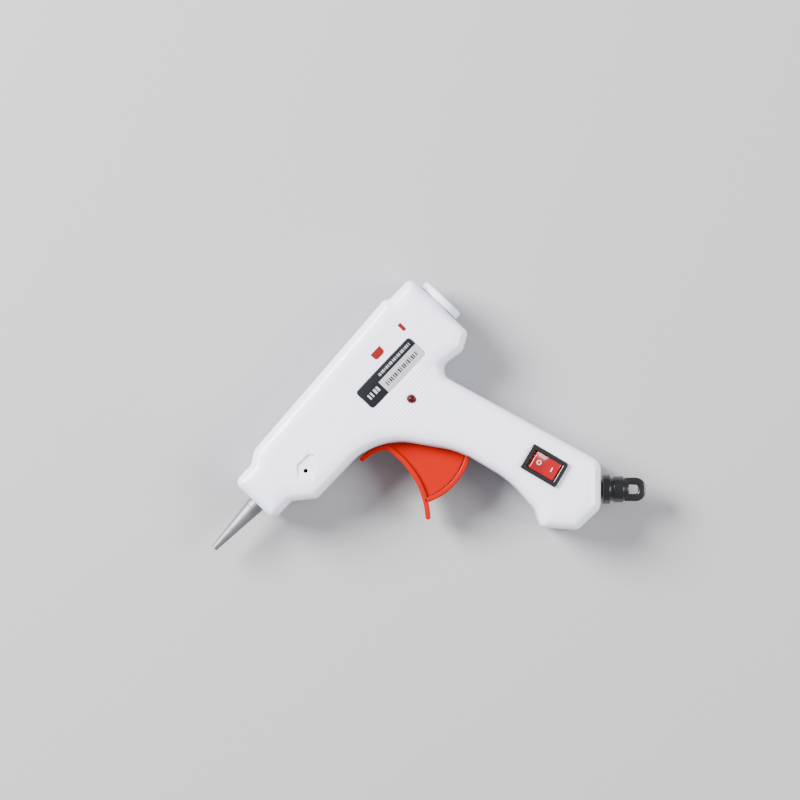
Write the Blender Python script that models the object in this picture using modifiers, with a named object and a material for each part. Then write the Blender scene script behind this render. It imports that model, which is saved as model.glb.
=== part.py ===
"""Mini hot-melt glue gun, lying on its right side.

Metres. +X runs along the barrel to the rear, +Y to the top of the gun and +Z to its left side.
The origin is on the right shell's flat side, under the barrel's axis and beside the trigger's pivot.
"""

import math

import bmesh
import bpy
from mathutils import Matrix, Vector

# Fits and walls
GAP = 0.0003  # air between touching pieces
WALL = 0.0018  # moulded shell wall
ARC_SAG = 0.00004  # most that a facet may cut inside its arc
ARC_STEP = math.radians(20)

# Housing: overall sizes
HOUSING_WIDTH = 0.0260
EDGE_ROUND = 0.0025
MID = HOUSING_WIDTH / 2
INNER_HALF = MID - WALL

# Barrel outline, from the barrel's axis
NOSE_X = -0.0490
BARREL_LENGTH = 0.0999
REAR_X = NOSE_X + BARREL_LENGTH
NOSE_TOP = 0.0115
NOSE_BOTTOM = -0.0089
NOSE_TOP_LENGTH = 0.0090
NOSE_BOTTOM_LENGTH = 0.0094
SHOULDER_RUN = 0.0050
CHIN_RUN = 0.0074
BARREL_TOP_FRONT = 0.0144
BARREL_TOP_REAR = 0.0178
REAR_TOP = 0.0164
REAR_STEP_LENGTH = 0.0127
BARREL_BOTTOM = -0.0151
LUG_BOTTOM = -0.0166
LUG_CHAMFER_RUN = 0.0066
LUG_CHAMFER_RISE = 0.0034

# Handle, in its own frame: down along the handle and back across it
GRIP_X = 0.0226
GRIP_Y = -0.0164
GRIP_LEAN = math.radians(13)
GRIP_LENGTH = 0.0768
GRIP_FRONT = 0.0113
GRIP_BACK = 0.0099
GRIP_FLARE = 0.0021
HEEL_REACH = 0.0092
HEEL_HEIGHT = 0.0122
THUMB_WEB_RADIUS = 0.0090

# Trigger and its swing
PIVOT = Vector((0.0, -0.0120))
TRIGGER_SWING = math.radians(22)
TRIGGER_HALF_WIDTH = 0.0060
TRIGGER_WALL = 0.0019
WEB_HALF_WIDTH = 0.0046
WEB_WALL = 0.0014
TOE = Vector((-0.01095, -0.00495))
TOE_CURVE = Vector((-0.0052, -0.00545))
TOE_RADIUS = 0.0140
BEND = Vector((-0.00062, -0.0085))
BEND_RADIUS = 0.0030
BLADE_KNEE = Vector((0.00158, -0.02593))
TIP = Vector((-0.00895, -0.03737))
BLADE_RADIUS = 0.0333
RIM_CENTRE = Vector((0.0062, -0.0122))
RIM_RADIUS = 0.02415
HUB_RADIUS = 0.0036
PIVOT_PIN_RADIUS = 0.0015
ARM_THICKNESS = 0.0015
ARM_WIDTH = 0.0060

# Glue stick and hot end, along the barrel's axis
STICK_DIAMETER = 0.0070
BORE_RADIUS = STICK_DIAMETER / 2 + GAP
NOZZLE_LENGTH = 0.0230
TIP_RADIUS = 0.00115
TIP_BORE_RADIUS = 0.0006
NOZZLE_RADIUS = 0.0032
SPIGOT_RADIUS = 0.0022
CHAMBER_FRONT = NOSE_X + 0.0058
CHAMBER_LENGTH = 0.0302
CHAMBER_WALL = 0.0027
CHAMBER_RADIUS = BORE_RADIUS + CHAMBER_WALL
FLANGE_LENGTH = 0.0028
FLANGE_STAND = 0.0009
NECK_LENGTH = 0.0040
NECK_WALL = 0.0008
SLEEVE_WALL = 0.0005
SLEEVE_LENGTH = 0.0130
SADDLE_TOP = CHAMBER_RADIUS + 0.0005
PTC_LENGTH = 0.0120
PTC_WIDTH = 0.0065
PTC_THICKNESS = 0.0018
PLATE_THICKNESS = 0.0004
CLIP_THICKNESS = 0.0005
CLIP_LENGTH = 0.0090

# Feed carriage
SLEEVE_RADIUS = BORE_RADIUS + NECK_WALL + SLEEVE_WALL + GAP
STRAP_THICKNESS = 0.0012
STRAP_INNER = SLEEVE_RADIUS + GAP
STRAP_OUTER = STRAP_INNER + STRAP_THICKNESS
ARM_INNER = STRAP_OUTER + GAP
ARM_OUTER = ARM_INNER + ARM_THICKNESS
DRIVE_PIN_RADIUS = 0.0012
LEVER = -PIVOT.y
FEED_HALF = LEVER * math.tan(TRIGGER_SWING / 2)
STRAP_HALF_HEIGHT = 0.0025
CARRIAGE_FRONT = FEED_HALF - 0.0033
CARRIAGE_BODY_START = 0.0090
CARRIAGE_BODY_LENGTH = 0.0120
WING_HALF_HEIGHT = 0.0015
RAIL_THICKNESS = 0.0014
JAW_PIVOT = Vector((0.0150, -SLEEVE_RADIUS - 0.0038))
JAW_HALF_WIDTH = 0.0022
JAW_PIN_RADIUS = 0.0007
JAW_LUG_THICKNESS = 0.0015

# Return spring
SPRING_WIRE = 0.0006
SPRING_TURNS = 6

# Inlet collar at the rear
INLET_RADIUS = 0.0061
INLET_CENTRE_Y = INLET_RADIUS - STICK_DIAMETER / 2 - GAP
INLET_WALL = 0.0013
INLET_FLANGE = 0.0026
INLET_STAND = 0.0031

# Switch, along the handle from its end
SWITCH_FROM_END = 0.0248
BEZEL_LENGTH = 0.0152
BEZEL_WIDTH = 0.0102
BEZEL_THICKNESS = 0.0012
BEZEL_RIM = 0.0018
SWITCH_BODY_DEPTH = 0.0105
ROCKER_SWING = math.radians(18)
ROCKER_STAND = 0.0022
ROCKER_THICKNESS = 0.0036
TERMINAL_LENGTH = 0.0050

# Small fittings
LED_X = 0.0185
LED_Y = -0.0149
LED_RADIUS = 0.0015
LABEL_X = 0.0060
LABEL_Y = -0.0072
LABEL_LENGTH = 0.0283
LABEL_HEIGHT = 0.0087
LABEL_THICKNESS = 0.0003
STAND_X = -0.0274
STAND_Y = -0.0049
STAND_ANGLE = math.radians(43.5)
STAND_LENGTH = 0.0104
STAND_WIDTH = 0.0070
STAND_DEPTH = 0.0008
STAND_HOLE_RADIUS = 0.0008
SCREW_RADIUS = 0.0011
SCREW_HEAD_RADIUS = 0.0020
SCREW_HEAD_HEIGHT = 0.0014
SCREW_SINK = 0.0006
SCREW_LENGTH = 0.0180
POST_RADIUS = 0.0030
LEAD_RADIUS = 0.0006

# Cable gland at the handle's end
GLAND_SHIFT = 0.0016
GLAND_NECK_RADIUS = 0.0036
GLAND_BODY_RADIUS = 0.0045
GLAND_FLANGE_RADIUS = 0.0055
GLAND_STAND = 0.0008
GLAND_FLANGE = 0.0028
GLAND_BODY = 0.0068
EYE_LENGTH = 0.0063
EYE_WIDTH = 0.0089
EYE_ROUND = 0.0040
EYE_THICKNESS = 0.0056
WINDOW_LENGTH = 0.0036
WINDOW_WIDTH = 0.0035
CABLE_RADIUS = 0.0016


def grip(down, back):
    """The XY point that lies this far down the handle and this far behind its middle line."""
    x = GRIP_X + down * math.sin(GRIP_LEAN) + back * math.cos(GRIP_LEAN)
    y = GRIP_Y - down * math.cos(GRIP_LEAN) + back * math.sin(GRIP_LEAN)
    return Vector((x, y))


def corner(point, radius):
    return (point[0], point[1], radius)


TOP_STEP_X = REAR_X - REAR_STEP_LENGTH
END_BACK = grip(GRIP_LENGTH - 0.0072, GRIP_BACK + GRIP_FLARE)
END_FRONT = grip(GRIP_LENGTH + 0.0016, -0.0031)
SWITCH_DOWN = GRIP_LENGTH - SWITCH_FROM_END

# The side view of the housing, corner by corner, anticlockwise from the nose
HOUSING_CORNERS = [
    (NOSE_X, NOSE_BOTTOM, 0.0030),
    (NOSE_X + NOSE_BOTTOM_LENGTH, NOSE_BOTTOM, 0.0020),
    (NOSE_X + NOSE_BOTTOM_LENGTH + CHIN_RUN, BARREL_BOTTOM, 0.0032),
    (-0.0006, BARREL_BOTTOM, 0.0250),
    corner(grip(0.0226, -GRIP_FRONT), 0.0350),
    corner(grip(GRIP_LENGTH - 0.0327, -GRIP_FRONT), 0.0400),
    corner(grip(GRIP_LENGTH - 0.0194, -GRIP_FRONT - 0.0046), 0.0025),
    corner(grip(GRIP_LENGTH - 0.0139, -GRIP_FRONT - HEEL_REACH), 0.0030),
    corner(grip(GRIP_LENGTH - 0.0139 + HEEL_HEIGHT, -GRIP_FRONT - 0.0030), 0.0032),
    corner(END_FRONT, 0.0045),
    corner(END_BACK, 0.0050),
    corner(grip(0.0, GRIP_BACK - 0.0002), THUMB_WEB_RADIUS),
    (REAR_X - LUG_CHAMFER_RUN, LUG_BOTTOM, 0.0040),
    (REAR_X, LUG_BOTTOM + LUG_CHAMFER_RISE, 0.0030),
    (REAR_X, REAR_TOP, 0.0030),
    (TOP_STEP_X + 0.0016, REAR_TOP, 0.0020),
    (TOP_STEP_X, BARREL_TOP_REAR, 0.0020),
    (NOSE_X + NOSE_TOP_LENGTH + SHOULDER_RUN, BARREL_TOP_FRONT, 0.0040),
    (NOSE_X + NOSE_TOP_LENGTH, NOSE_TOP, 0.0020),
    (NOSE_X, NOSE_TOP, 0.0030),
]

# Screw posts, clear of everything between the shells
SCREW_PLACES = [
    Vector((CHAMBER_FRONT + CHAMBER_LENGTH - 0.0048, BARREL_BOTTOM + WALL / 2 + POST_RADIUS * 1.3)),
    Vector((CHAMBER_FRONT + CHAMBER_LENGTH + 0.0032, 0.0114)),
    Vector((TOP_STEP_X - 0.0052, BARREL_TOP_REAR - WALL - POST_RADIUS - 0.0004)),
    Vector((REAR_X - 0.0084, LUG_BOTTOM + WALL + POST_RADIUS + 0.0003)),
    grip(SWITCH_DOWN - 0.0190, GRIP_BACK - WALL - POST_RADIUS + 0.0002),
    grip(GRIP_LENGTH - 0.0093, -GRIP_FRONT - 0.0012),
]

FINISHES = {
    "shell_white": ((0.82, 0.83, 0.87), 0.38, 0.0),
    "trigger_orange": ((0.84, 0.10, 0.02), 0.40, 0.0),
    "nozzle_metal": ((0.45, 0.45, 0.47), 0.42, 1.0),
    "cast_aluminium": ((0.62, 0.62, 0.64), 0.50, 1.0),
    "ceramic_grey": ((0.25, 0.24, 0.23), 0.70, 0.0),
    "contact_metal": ((0.70, 0.68, 0.62), 0.35, 1.0),
    "spring_steel": ((0.48, 0.48, 0.50), 0.30, 1.0),
    "silicone_red": ((0.50, 0.08, 0.06), 0.60, 0.0),
    "carriage_nylon": ((0.78, 0.76, 0.68), 0.50, 0.0),
    "collar_white": ((0.80, 0.81, 0.84), 0.45, 0.0),
    "switch_black": ((0.02, 0.02, 0.022), 0.35, 0.0),
    "rocker_red": ((0.60, 0.02, 0.03), 0.25, 0.0),
    "led_red": ((0.45, 0.01, 0.02), 0.12, 0.0),
    "gland_black": ((0.015, 0.015, 0.016), 0.42, 0.0),
    "lead_brown": ((0.16, 0.06, 0.03), 0.50, 0.0),
    "lead_blue": ((0.03, 0.10, 0.40), 0.50, 0.0),
    "resistor_tan": ((0.60, 0.48, 0.32), 0.55, 0.0),
    "label_print": ((0.03, 0.03, 0.04), 0.35, 0.0),
}


def clear_scene():
    for obj in list(bpy.data.objects):
        bpy.data.objects.remove(obj, do_unlink=True)


def new_collection(name):
    collection = bpy.data.collections.new(name)
    bpy.context.scene.collection.children.link(collection)
    return collection


def make_material(name):
    colour, roughness, metallic = FINISHES[name]
    material = bpy.data.materials.new(name)
    material.use_nodes = True
    shader = material.node_tree.nodes["Principled BSDF"]
    shader.inputs["Base Color"].default_value = (*colour, 1.0)
    shader.inputs["Roughness"].default_value = roughness
    shader.inputs["Metallic"].default_value = metallic
    return material


clear_scene()
PARTS = new_collection("glue_gun")
CUTTERS = new_collection("cutters")


def as_cutter(obj):
    """Moves a helper out of the model, where it only cuts or joins."""
    PARTS.objects.unlink(obj)
    CUTTERS.objects.link(obj)
    obj.hide_render = True
    obj.display_type = "WIRE"
    return obj


def settled(obj, dissolve=False):
    """The object's evaluated shape as a plain closed mesh, in world coordinates."""
    bpy.context.view_layer.update()
    graph = bpy.context.evaluated_depsgraph_get()
    mesh = bpy.data.meshes.new_from_object(obj.evaluated_get(graph))
    mesh.transform(obj.matrix_world)
    shape = bmesh.new()
    shape.from_mesh(mesh)
    bmesh.ops.remove_doubles(shape, verts=shape.verts, dist=1e-7)
    if dissolve:
        flat = math.radians(0.1)
        bmesh.ops.dissolve_limit(shape, angle_limit=flat, verts=shape.verts, edges=shape.edges)
    bmesh.ops.recalc_face_normals(shape, faces=shape.faces)
    shape.to_mesh(mesh)
    shape.free()
    name = obj.name
    bpy.data.objects.remove(obj, do_unlink=True)
    solid = bpy.data.objects.new(name, mesh)
    PARTS.objects.link(solid)
    return solid


def mesh_object(name, shape, matrix=None):
    mesh = bpy.data.meshes.new(name)
    if matrix is not None:
        bmesh.ops.transform(shape, matrix=matrix, verts=shape.verts)
    shape.to_mesh(mesh)
    shape.free()
    obj = bpy.data.objects.new(name, mesh)
    PARTS.objects.link(obj)
    return obj


def box(name, low, high):
    low = Vector(low)
    high = Vector(high)
    shape = bmesh.new()
    bmesh.ops.create_cube(shape, size=1.0)
    size = Matrix.Diagonal((*(high - low), 1.0))
    return mesh_object(name, shape, Matrix.Translation((low + high) / 2) @ size)


def rod(name, start, end, radius, segments=24, end_radius=None):
    """A cylinder or, with an end radius, a cone from one point to another."""
    start = Vector(start)
    reach = Vector(end) - start
    shape = bmesh.new()
    bmesh.ops.create_cone(
        shape,
        cap_ends=True,
        segments=segments,
        radius1=radius,
        radius2=radius if end_radius is None else end_radius,
        depth=reach.length,
    )
    turn = reach.to_track_quat("Z", "Y").to_matrix().to_4x4()
    return mesh_object(name, shape, Matrix.Translation(start + reach / 2) @ turn)


def crossing(start, along, other, onward):
    """Where the line through start along one direction meets the line through other."""
    across = along.x * onward.y - along.y * onward.x
    offset = other - start
    return start + along * ((offset.x * onward.y - offset.y * onward.x) / across)


def arc(centre, radius, first, last):
    """Points on an arc, close enough together for the facets to follow it."""
    sweep = abs(last - first)
    steps = max(1, math.ceil(sweep / min(ARC_STEP, 2 * math.acos(1 - ARC_SAG / radius))))
    angles = [first + (last - first) * step / steps for step in range(steps + 1)]
    return [centre + radius * Vector((math.cos(angle), math.sin(angle))) for angle in angles]


def filleted(before, point, after, radius):
    """The arc that rounds one corner; no fillet takes more than half of a side."""
    along = (point - before).normalized()
    onward = (after - point).normalized()
    turn = math.atan2(along.x * onward.y - along.y * onward.x, along.dot(onward))
    shortest = min((point - before).length, (after - point).length)
    if radius <= 0 or abs(turn) < 1e-4:
        return [point]
    radius = min(radius, 0.49 * shortest / math.tan(abs(turn) / 2))
    side = math.copysign(1.0, turn)
    start = point - along * radius * math.tan(abs(turn) / 2)
    centre = start + Vector((-along.y, along.x)) * side * radius
    first = math.atan2(start.y - centre.y, start.x - centre.x)
    return arc(centre, radius, first, first + turn)


def rounded(corners, inset=0.0):
    """A closed outline with each corner's arc, its sides moved inwards by the inset."""
    count = len(corners)
    spots = [Vector(entry[:2]) for entry in corners]
    lines = []
    for index in range(count):
        along = (spots[(index + 1) % count] - spots[index]).normalized()
        lines.append((spots[index] + Vector((-along.y, along.x)) * inset, along))
    moved = [crossing(*lines[index - 1], *lines[index]) for index in range(count)]
    points = []
    for index in range(count):
        before = lines[index - 1][1]
        after = lines[index][1]
        convex = before.x * after.y - before.y * after.x > 0
        radius = corners[index][2] - inset if convex else corners[index][2] + inset
        points += filleted(moved[index - 1], moved[index], moved[(index + 1) % count], max(radius, 0.0))
    return points


def strip(corners, offset):
    """An open path with rounded corners, moved sideways to its left by the offset."""
    spots = [Vector(entry[:2]) for entry in corners]
    lines = []
    for index in range(len(spots) - 1):
        along = (spots[index + 1] - spots[index]).normalized()
        lines.append((spots[index] + Vector((-along.y, along.x)) * offset, along))
    last_along = lines[-1][1]
    moved = [lines[0][0]]
    moved += [crossing(*lines[index - 1], *lines[index]) for index in range(1, len(lines))]
    moved.append(spots[-1] + Vector((-last_along.y, last_along.x)) * offset)
    points = [moved[0]]
    for index in range(1, len(spots) - 1):
        before = lines[index - 1][1]
        after = lines[index][1]
        side = 1 if before.x * after.y - before.y * after.x > 0 else -1
        radius = max(corners[index][2] - side * offset, 0.0)
        points += filleted(moved[index - 1], moved[index], moved[index + 1], radius)
    return points + [moved[-1]]


def flat_solid(name, points, low, high):
    """A closed outline in XY, filled and extruded between two heights."""
    curve = bpy.data.curves.new(name, "CURVE")
    curve.dimensions = "2D"
    curve.fill_mode = "BOTH"
    curve.extrude = (high - low) / 2
    spline = curve.splines.new("POLY")
    spline.points.add(len(points) - 1)
    spline.use_cyclic_u = True
    for target, point in zip(spline.points, points):
        target.co = (point[0], point[1], 0.0, 1.0)
    guide = bpy.data.objects.new(name, curve)
    guide.location.z = (low + high) / 2
    PARTS.objects.link(guide)
    return settled(guide, dissolve=True)


def side_solid(name, points, low, high, matrix):
    """A flat solid made in the XY plane and then put where the matrix says."""
    solid = flat_solid(name, points, low, high)
    solid.data.transform(matrix)
    return solid


def turned(name, profile, segments=32, matrix=None, closed=True):
    """A profile of (along, radius) points turned round an axis, which is X unless a matrix is given."""
    mesh = bpy.data.meshes.new(name)
    spots = [(radius, 0.0, along) for along, radius in profile]
    edges = [(index, index + 1) for index in range(len(spots) - 1)]
    if closed:
        edges.append((len(spots) - 1, 0))
    mesh.from_pydata(spots, edges, [])
    obj = bpy.data.objects.new(name, mesh)
    PARTS.objects.link(obj)
    screw = obj.modifiers.new("turn", "SCREW")
    screw.axis = "Z"
    screw.steps = segments
    screw.render_steps = segments
    screw.use_merge_vertices = True
    screw.merge_threshold = 1e-6
    obj.matrix_world = BARREL_FRAME if matrix is None else matrix
    return settled(obj)


BARREL_FRAME = Matrix.Translation((0.0, 0.0, MID)) @ Matrix.Rotation(math.pi / 2, 4, "Y")


def frame_at(point, along):
    """A frame whose Z axis runs along a direction in the XY plane and whose X axis is straight up."""
    along = Vector((along[0], along[1], 0.0)).normalized()
    up = Vector((0.0, 0.0, 1.0))
    side = along.cross(up)
    turn = Matrix((up, side, along)).transposed().to_4x4()
    return Matrix.Translation((point[0], point[1], MID)) @ turn


def combine(obj, operation, others):
    for other in others:
        modifier = obj.modifiers.new(operation.lower(), "BOOLEAN")
        modifier.operation = operation
        modifier.solver = "EXACT"
        modifier.object = as_cutter(other)


def cut(obj, *others):
    combine(obj, "DIFFERENCE", others)


def join(obj, *others):
    combine(obj, "UNION", others)


def finish(obj, finish_name, origin=None, smooth=True):
    """Gives the piece its material, and its origin where it turns or slides."""
    if finish_name not in bpy.data.materials:
        make_material(finish_name)
    obj.data.materials.clear()
    obj.data.materials.append(bpy.data.materials[finish_name])
    if smooth:
        obj.data.shade_smooth()
        obj.data.set_sharp_from_angle(angle=math.radians(30))
    if origin is not None:
        obj.data.transform(Matrix.Translation(-Vector(origin)))
        obj.location = origin
    return obj


def smooth_route(route, steps=5):
    """A curve through every point of the route, each stretch split into equal steps."""
    spots = [Vector(point) for point in route]
    ends = [2 * spots[0] - spots[1], *spots, 2 * spots[-1] - spots[-2]]
    points = []
    for index in range(1, len(ends) - 2):
        a, b, c, d = ends[index - 1 : index + 3]
        for step in range(steps):
            t = step / steps
            bend = (2 * b) + (c - a) * t + (2 * a - 5 * b + 4 * c - d) * t**2
            points.append((bend + (3 * b - a - 3 * c + d) * t**3) / 2)
    return points + [spots[-1]]


def wire(name, points, radius):
    curve = bpy.data.curves.new(name, "CURVE")
    curve.dimensions = "3D"
    curve.bevel_depth = radius
    curve.bevel_resolution = 2
    curve.use_fill_caps = True
    spline = curve.splines.new("POLY")
    spline.points.add(len(points) - 1)
    for target, point in zip(spline.points, points):
        target.co = (*point, 1.0)
    guide = bpy.data.objects.new(name, curve)
    PARTS.objects.link(guide)
    return settled(guide)


# Housing


def inlet_frame():
    return Matrix.Translation((0.0, INLET_CENTRE_Y, 0.0)) @ BARREL_FRAME


def gland_frame():
    """The middle of the handle's end face, with Z pointing out of it."""
    along = (END_FRONT - END_BACK).normalized()
    outward = Vector((-along.y, along.x))
    if outward.y > 0:
        outward = -outward
    middle = (END_FRONT + END_BACK) / 2 + along * GLAND_SHIFT
    return frame_at(middle, outward)


def trigger_reach():
    """The furthest that any trigger point which enters the handle lies from the pivot."""
    return RIM_CENTRE.length + RIM_RADIUS


def trigger_slot():
    """The opening under the barrel and down the handle's front that the trigger swings through."""
    reach = trigger_reach() + 3 * GAP
    front = -0.0086
    first = math.atan2(-math.sqrt(reach**2 - front**2), front)
    points = [Vector((front, PIVOT.y + 0.0004)), Vector((front, PIVOT.y - 0.0100))]
    points += arc(PIVOT, reach, first, math.radians(-56))
    points += [PIVOT + Vector((0.0220, -0.0180)), PIVOT + Vector((0.0110, 0.0004))]
    half = TRIGGER_HALF_WIDTH + 2 * GAP
    return flat_solid("trigger_slot", points, MID - half, MID + half)


def switch_matrix():
    """A frame at the switch: X down the handle, Y across it to the front, Z out of the left side."""
    centre = grip(SWITCH_DOWN, 0.0)
    down = grip(1.0, 0.0) - grip(0.0, 0.0)
    angle = math.atan2(down.y, down.x)
    return Matrix.Translation((centre.x, centre.y, HOUSING_WIDTH)) @ Matrix.Rotation(angle, 4, "Z")


def post(side, place, name):
    """A screw post from the middle of the side wall to past the parting plane."""
    outer = MID + side * (MID - WALL / 2)
    return rod(name, (*place, outer), (*place, MID - side * 0.001), POST_RADIUS)


def screw_hole(side, place, name):
    if side > 0:
        tip = SCREW_SINK + SCREW_LENGTH + 2 * GAP
        return rod(name, (*place, MID - 0.002), (*place, tip), SCREW_RADIUS + GAP)
    seat = SCREW_SINK + SCREW_HEAD_HEIGHT + GAP
    head = SCREW_HEAD_RADIUS + GAP
    shank = SCREW_RADIUS + GAP
    past = MID + 0.002
    profile = [(past, 0.0), (past, shank), (seat, shank), (seat, head), (-0.001, head), (-0.001, 0.0)]
    return turned(name, profile, 24, Matrix.Translation((*place, 0.0)), closed=False)


def shell_joins(side, tag):
    """Posts, the trigger's pivot boss, the hot end's ribs and the carriage's rails."""
    wall_mid = MID + side * (MID - WALL / 2)
    past = MID - side * 0.001
    pieces = [post(side, place, f"{tag}_post_{index}") for index, place in enumerate(SCREW_PLACES)]
    boss_end = MID + side * (ARM_OUTER + GAP)
    boss_radius = PIVOT_PIN_RADIUS + GAP + 0.0013
    pieces.append(rod(f"{tag}_boss", (*PIVOT, wall_mid), (*PIVOT, boss_end), boss_radius))
    for index, (start, bottom) in enumerate(rib_places()):
        low = (start, bottom, min(wall_mid, past))
        high = (start + 0.0012, CHAMBER_RADIUS * 0.75, max(wall_mid, past))
        pieces.append(box(f"{tag}_rib_{index}", low, high))
    rail_end = MID + side * (STRAP_OUTER + 0.0010)
    for index, way in enumerate((-1, 1)):
        inner = way * (WING_HALF_HEIGHT + GAP)
        outer = way * (WING_HALF_HEIGHT + GAP + RAIL_THICKNESS)
        low = (CARRIAGE_BODY_START, min(inner, outer), min(wall_mid, rail_end))
        high = (CARRIAGE_BODY_START + 0.0170, max(inner, outer), max(wall_mid, rail_end))
        pieces.append(box(f"{tag}_rail_{index}", low, high))
    return pieces


def rib_places():
    """Each rib's front face and its foot, halfway into the bottom wall."""
    front = (CHAMBER_FRONT + 0.0025, NOSE_BOTTOM + WALL / 2)
    rear = (CHAMBER_FRONT + CHAMBER_LENGTH - FLANGE_LENGTH - GAP - 0.0012, BARREL_BOTTOM + WALL / 2)
    return [front, rear]


def shell_cuts(side, tag):
    pivot_end = MID + side * INNER_HALF
    boss_start = MID + side * (ARM_OUTER - 0.001)
    chamber_end = CHAMBER_FRONT + CHAMBER_LENGTH - FLANGE_LENGTH
    pieces = [
        rod(f"{tag}_pin_hole", (*PIVOT, boss_start), (*PIVOT, pivot_end), PIVOT_PIN_RADIUS + GAP),
        rod(f"{tag}_chamber", (CHAMBER_FRONT, 0, MID), (chamber_end, 0, MID), CHAMBER_RADIUS + GAP, 32),
        rod(f"{tag}_nozzle", (NOSE_X - 0.001, 0, MID), (NOSE_X + 0.003, 0, MID), NOZZLE_RADIUS + GAP),
        turned(f"{tag}_inlet", inlet_cutter_profile(), 32, inlet_frame(), closed=False),
        turned(f"{tag}_gland", gland_cutter_profile(), 24, gland_frame(), closed=False),
        trigger_slot(),
        stand_pocket(side, tag),
        stand_hole(side, tag),
    ]
    pieces += [screw_hole(side, place, f"{tag}_screw_{index}") for index, place in enumerate(SCREW_PLACES)]
    return pieces


def inlet_cutter_profile():
    radius = INLET_RADIUS + INLET_WALL + GAP
    start = REAR_X - WALL - 0.001
    end = REAR_X + 0.001
    return [(start, 0.0), (start, radius), (end, radius), (end, 0.0)]


def gland_cutter_profile():
    radius = GLAND_NECK_RADIUS + GAP
    return [(-WALL - 0.002, 0.0), (-WALL - 0.002, radius), (0.002, radius), (0.002, 0.0)]


def stand_pocket(side, tag):
    """A shallow slanted recess round the wire stand's hole, one of its upper corners cut away."""
    low = -STAND_LENGTH * 0.4
    high = low + STAND_LENGTH
    half = STAND_WIDTH / 2
    corners = [
        (low, -half, 0.0012),
        (high, -half, 0.0012),
        (high, -half + STAND_WIDTH * 0.4, 0.0012),
        (high - STAND_WIDTH * 0.6, half, 0.0012),
        (low, half, 0.0012),
    ]
    face = HOUSING_WIDTH if side > 0 else 0.0
    floor = face - side * STAND_DEPTH
    past = face + side * 0.001
    place = Matrix.Translation((STAND_X, STAND_Y, 0.0)) @ Matrix.Rotation(STAND_ANGLE, 4, "Z")
    return side_solid(f"{tag}_stand_pocket", rounded(corners), min(floor, past), max(floor, past), place)


def stand_hole(side, tag):
    face = HOUSING_WIDTH if side > 0 else 0.0
    start = (STAND_X, STAND_Y, face + side * 0.001)
    end = (STAND_X, STAND_Y, face - side * (WALL + 0.001))
    return rod(f"{tag}_stand_hole", start, end, STAND_HOLE_RADIUS, 12)


def build_shell(side, tag):
    """One half of the housing: a rounded slab, hollowed, with posts and ribs, cut at the parting plane."""
    shell = flat_solid(f"{tag}_shell", rounded(HOUSING_CORNERS), 0.0, HOUSING_WIDTH)
    edges = shell.modifiers.new("edges", "BEVEL")
    edges.width = EDGE_ROUND
    edges.segments = 3
    edges.limit_method = "ANGLE"
    edges.angle_limit = math.radians(60)
    edges.use_clamp_overlap = True
    hollow = rounded(HOUSING_CORNERS, WALL)
    cut(shell, flat_solid(f"{tag}_hollow", hollow, WALL, HOUSING_WIDTH - WALL))
    join(shell, *shell_joins(side, tag))
    parting = MID + side * GAP / 2
    far = MID - side * (MID + 0.010)
    low = (-0.2, -0.2, min(parting, far))
    high = (0.2, 0.2, max(parting, far))
    cut(shell, box(f"{tag}_other_half", low, high))
    cut(shell, *shell_cuts(side, tag))
    return shell


def build_left_shell():
    shell = build_shell(1, "left")
    half_length = BEZEL_LENGTH / 2 - BEZEL_RIM / 2
    half_width = BEZEL_WIDTH / 2 - BEZEL_RIM / 2
    hole = box("switch_hole", (-half_length, -half_width, -WALL - 0.001), (half_length, half_width, 0.001))
    hole.data.transform(switch_matrix())
    led_start = (LED_X, LED_Y, HOUSING_WIDTH + 0.001)
    led_end = (LED_X, LED_Y, HOUSING_WIDTH - WALL - 0.001)
    led = rod("led_hole", led_start, led_end, LED_RADIUS + GAP)
    floor = HOUSING_WIDTH - LABEL_THICKNESS - GAP
    recess = flat_solid("label_recess", label_outline(-GAP), floor, HOUSING_WIDTH + 0.001)
    cut(shell, hole, led, recess)
    return finish(shell, "shell_white")


def label_outline(inset):
    """The rating plate's outline with its rounded corners."""
    corners = [
        (LABEL_X, LABEL_Y, 0.0012),
        (LABEL_X + LABEL_LENGTH, LABEL_Y, 0.0012),
        (LABEL_X + LABEL_LENGTH, LABEL_Y + LABEL_HEIGHT, 0.0012),
        (LABEL_X, LABEL_Y + LABEL_HEIGHT, 0.0012),
    ]
    return rounded(corners, inset)


def build_label():
    label = flat_solid("rating_label", label_outline(0.0), HOUSING_WIDTH - LABEL_THICKNESS, HOUSING_WIDTH)
    return finish(label, "label_print", smooth=False)


def build_screws():
    """Cross-head screws put in from the right side, one in each post."""
    for index, place in enumerate(SCREW_PLACES):
        top = SCREW_SINK
        seat = top + SCREW_HEAD_HEIGHT
        end = top + SCREW_LENGTH
        profile = [
            (end, 0.0),
            (end - 0.0012, SCREW_RADIUS),
            (seat, SCREW_RADIUS),
            (seat, SCREW_HEAD_RADIUS),
            (top + 0.0005, SCREW_HEAD_RADIUS),
            (top, SCREW_HEAD_RADIUS * 0.7),
            (top, 0.0),
        ]
        name = f"housing_screw_{index + 1}"
        screw = turned(name, profile, 20, Matrix.Translation((*place, 0.0)), closed=False)
        for turn in (0, 1):
            half = (0.0012, 0.0003) if turn == 0 else (0.0003, 0.0012)
            low = (place.x - half[0], place.y - half[1], top - 0.001)
            high = (place.x + half[0], place.y + half[1], top + 0.0008)
            cut(screw, box(f"{name}_slot_{turn}", low, high))
        finish(screw, "spring_steel")


# Hot end


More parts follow.
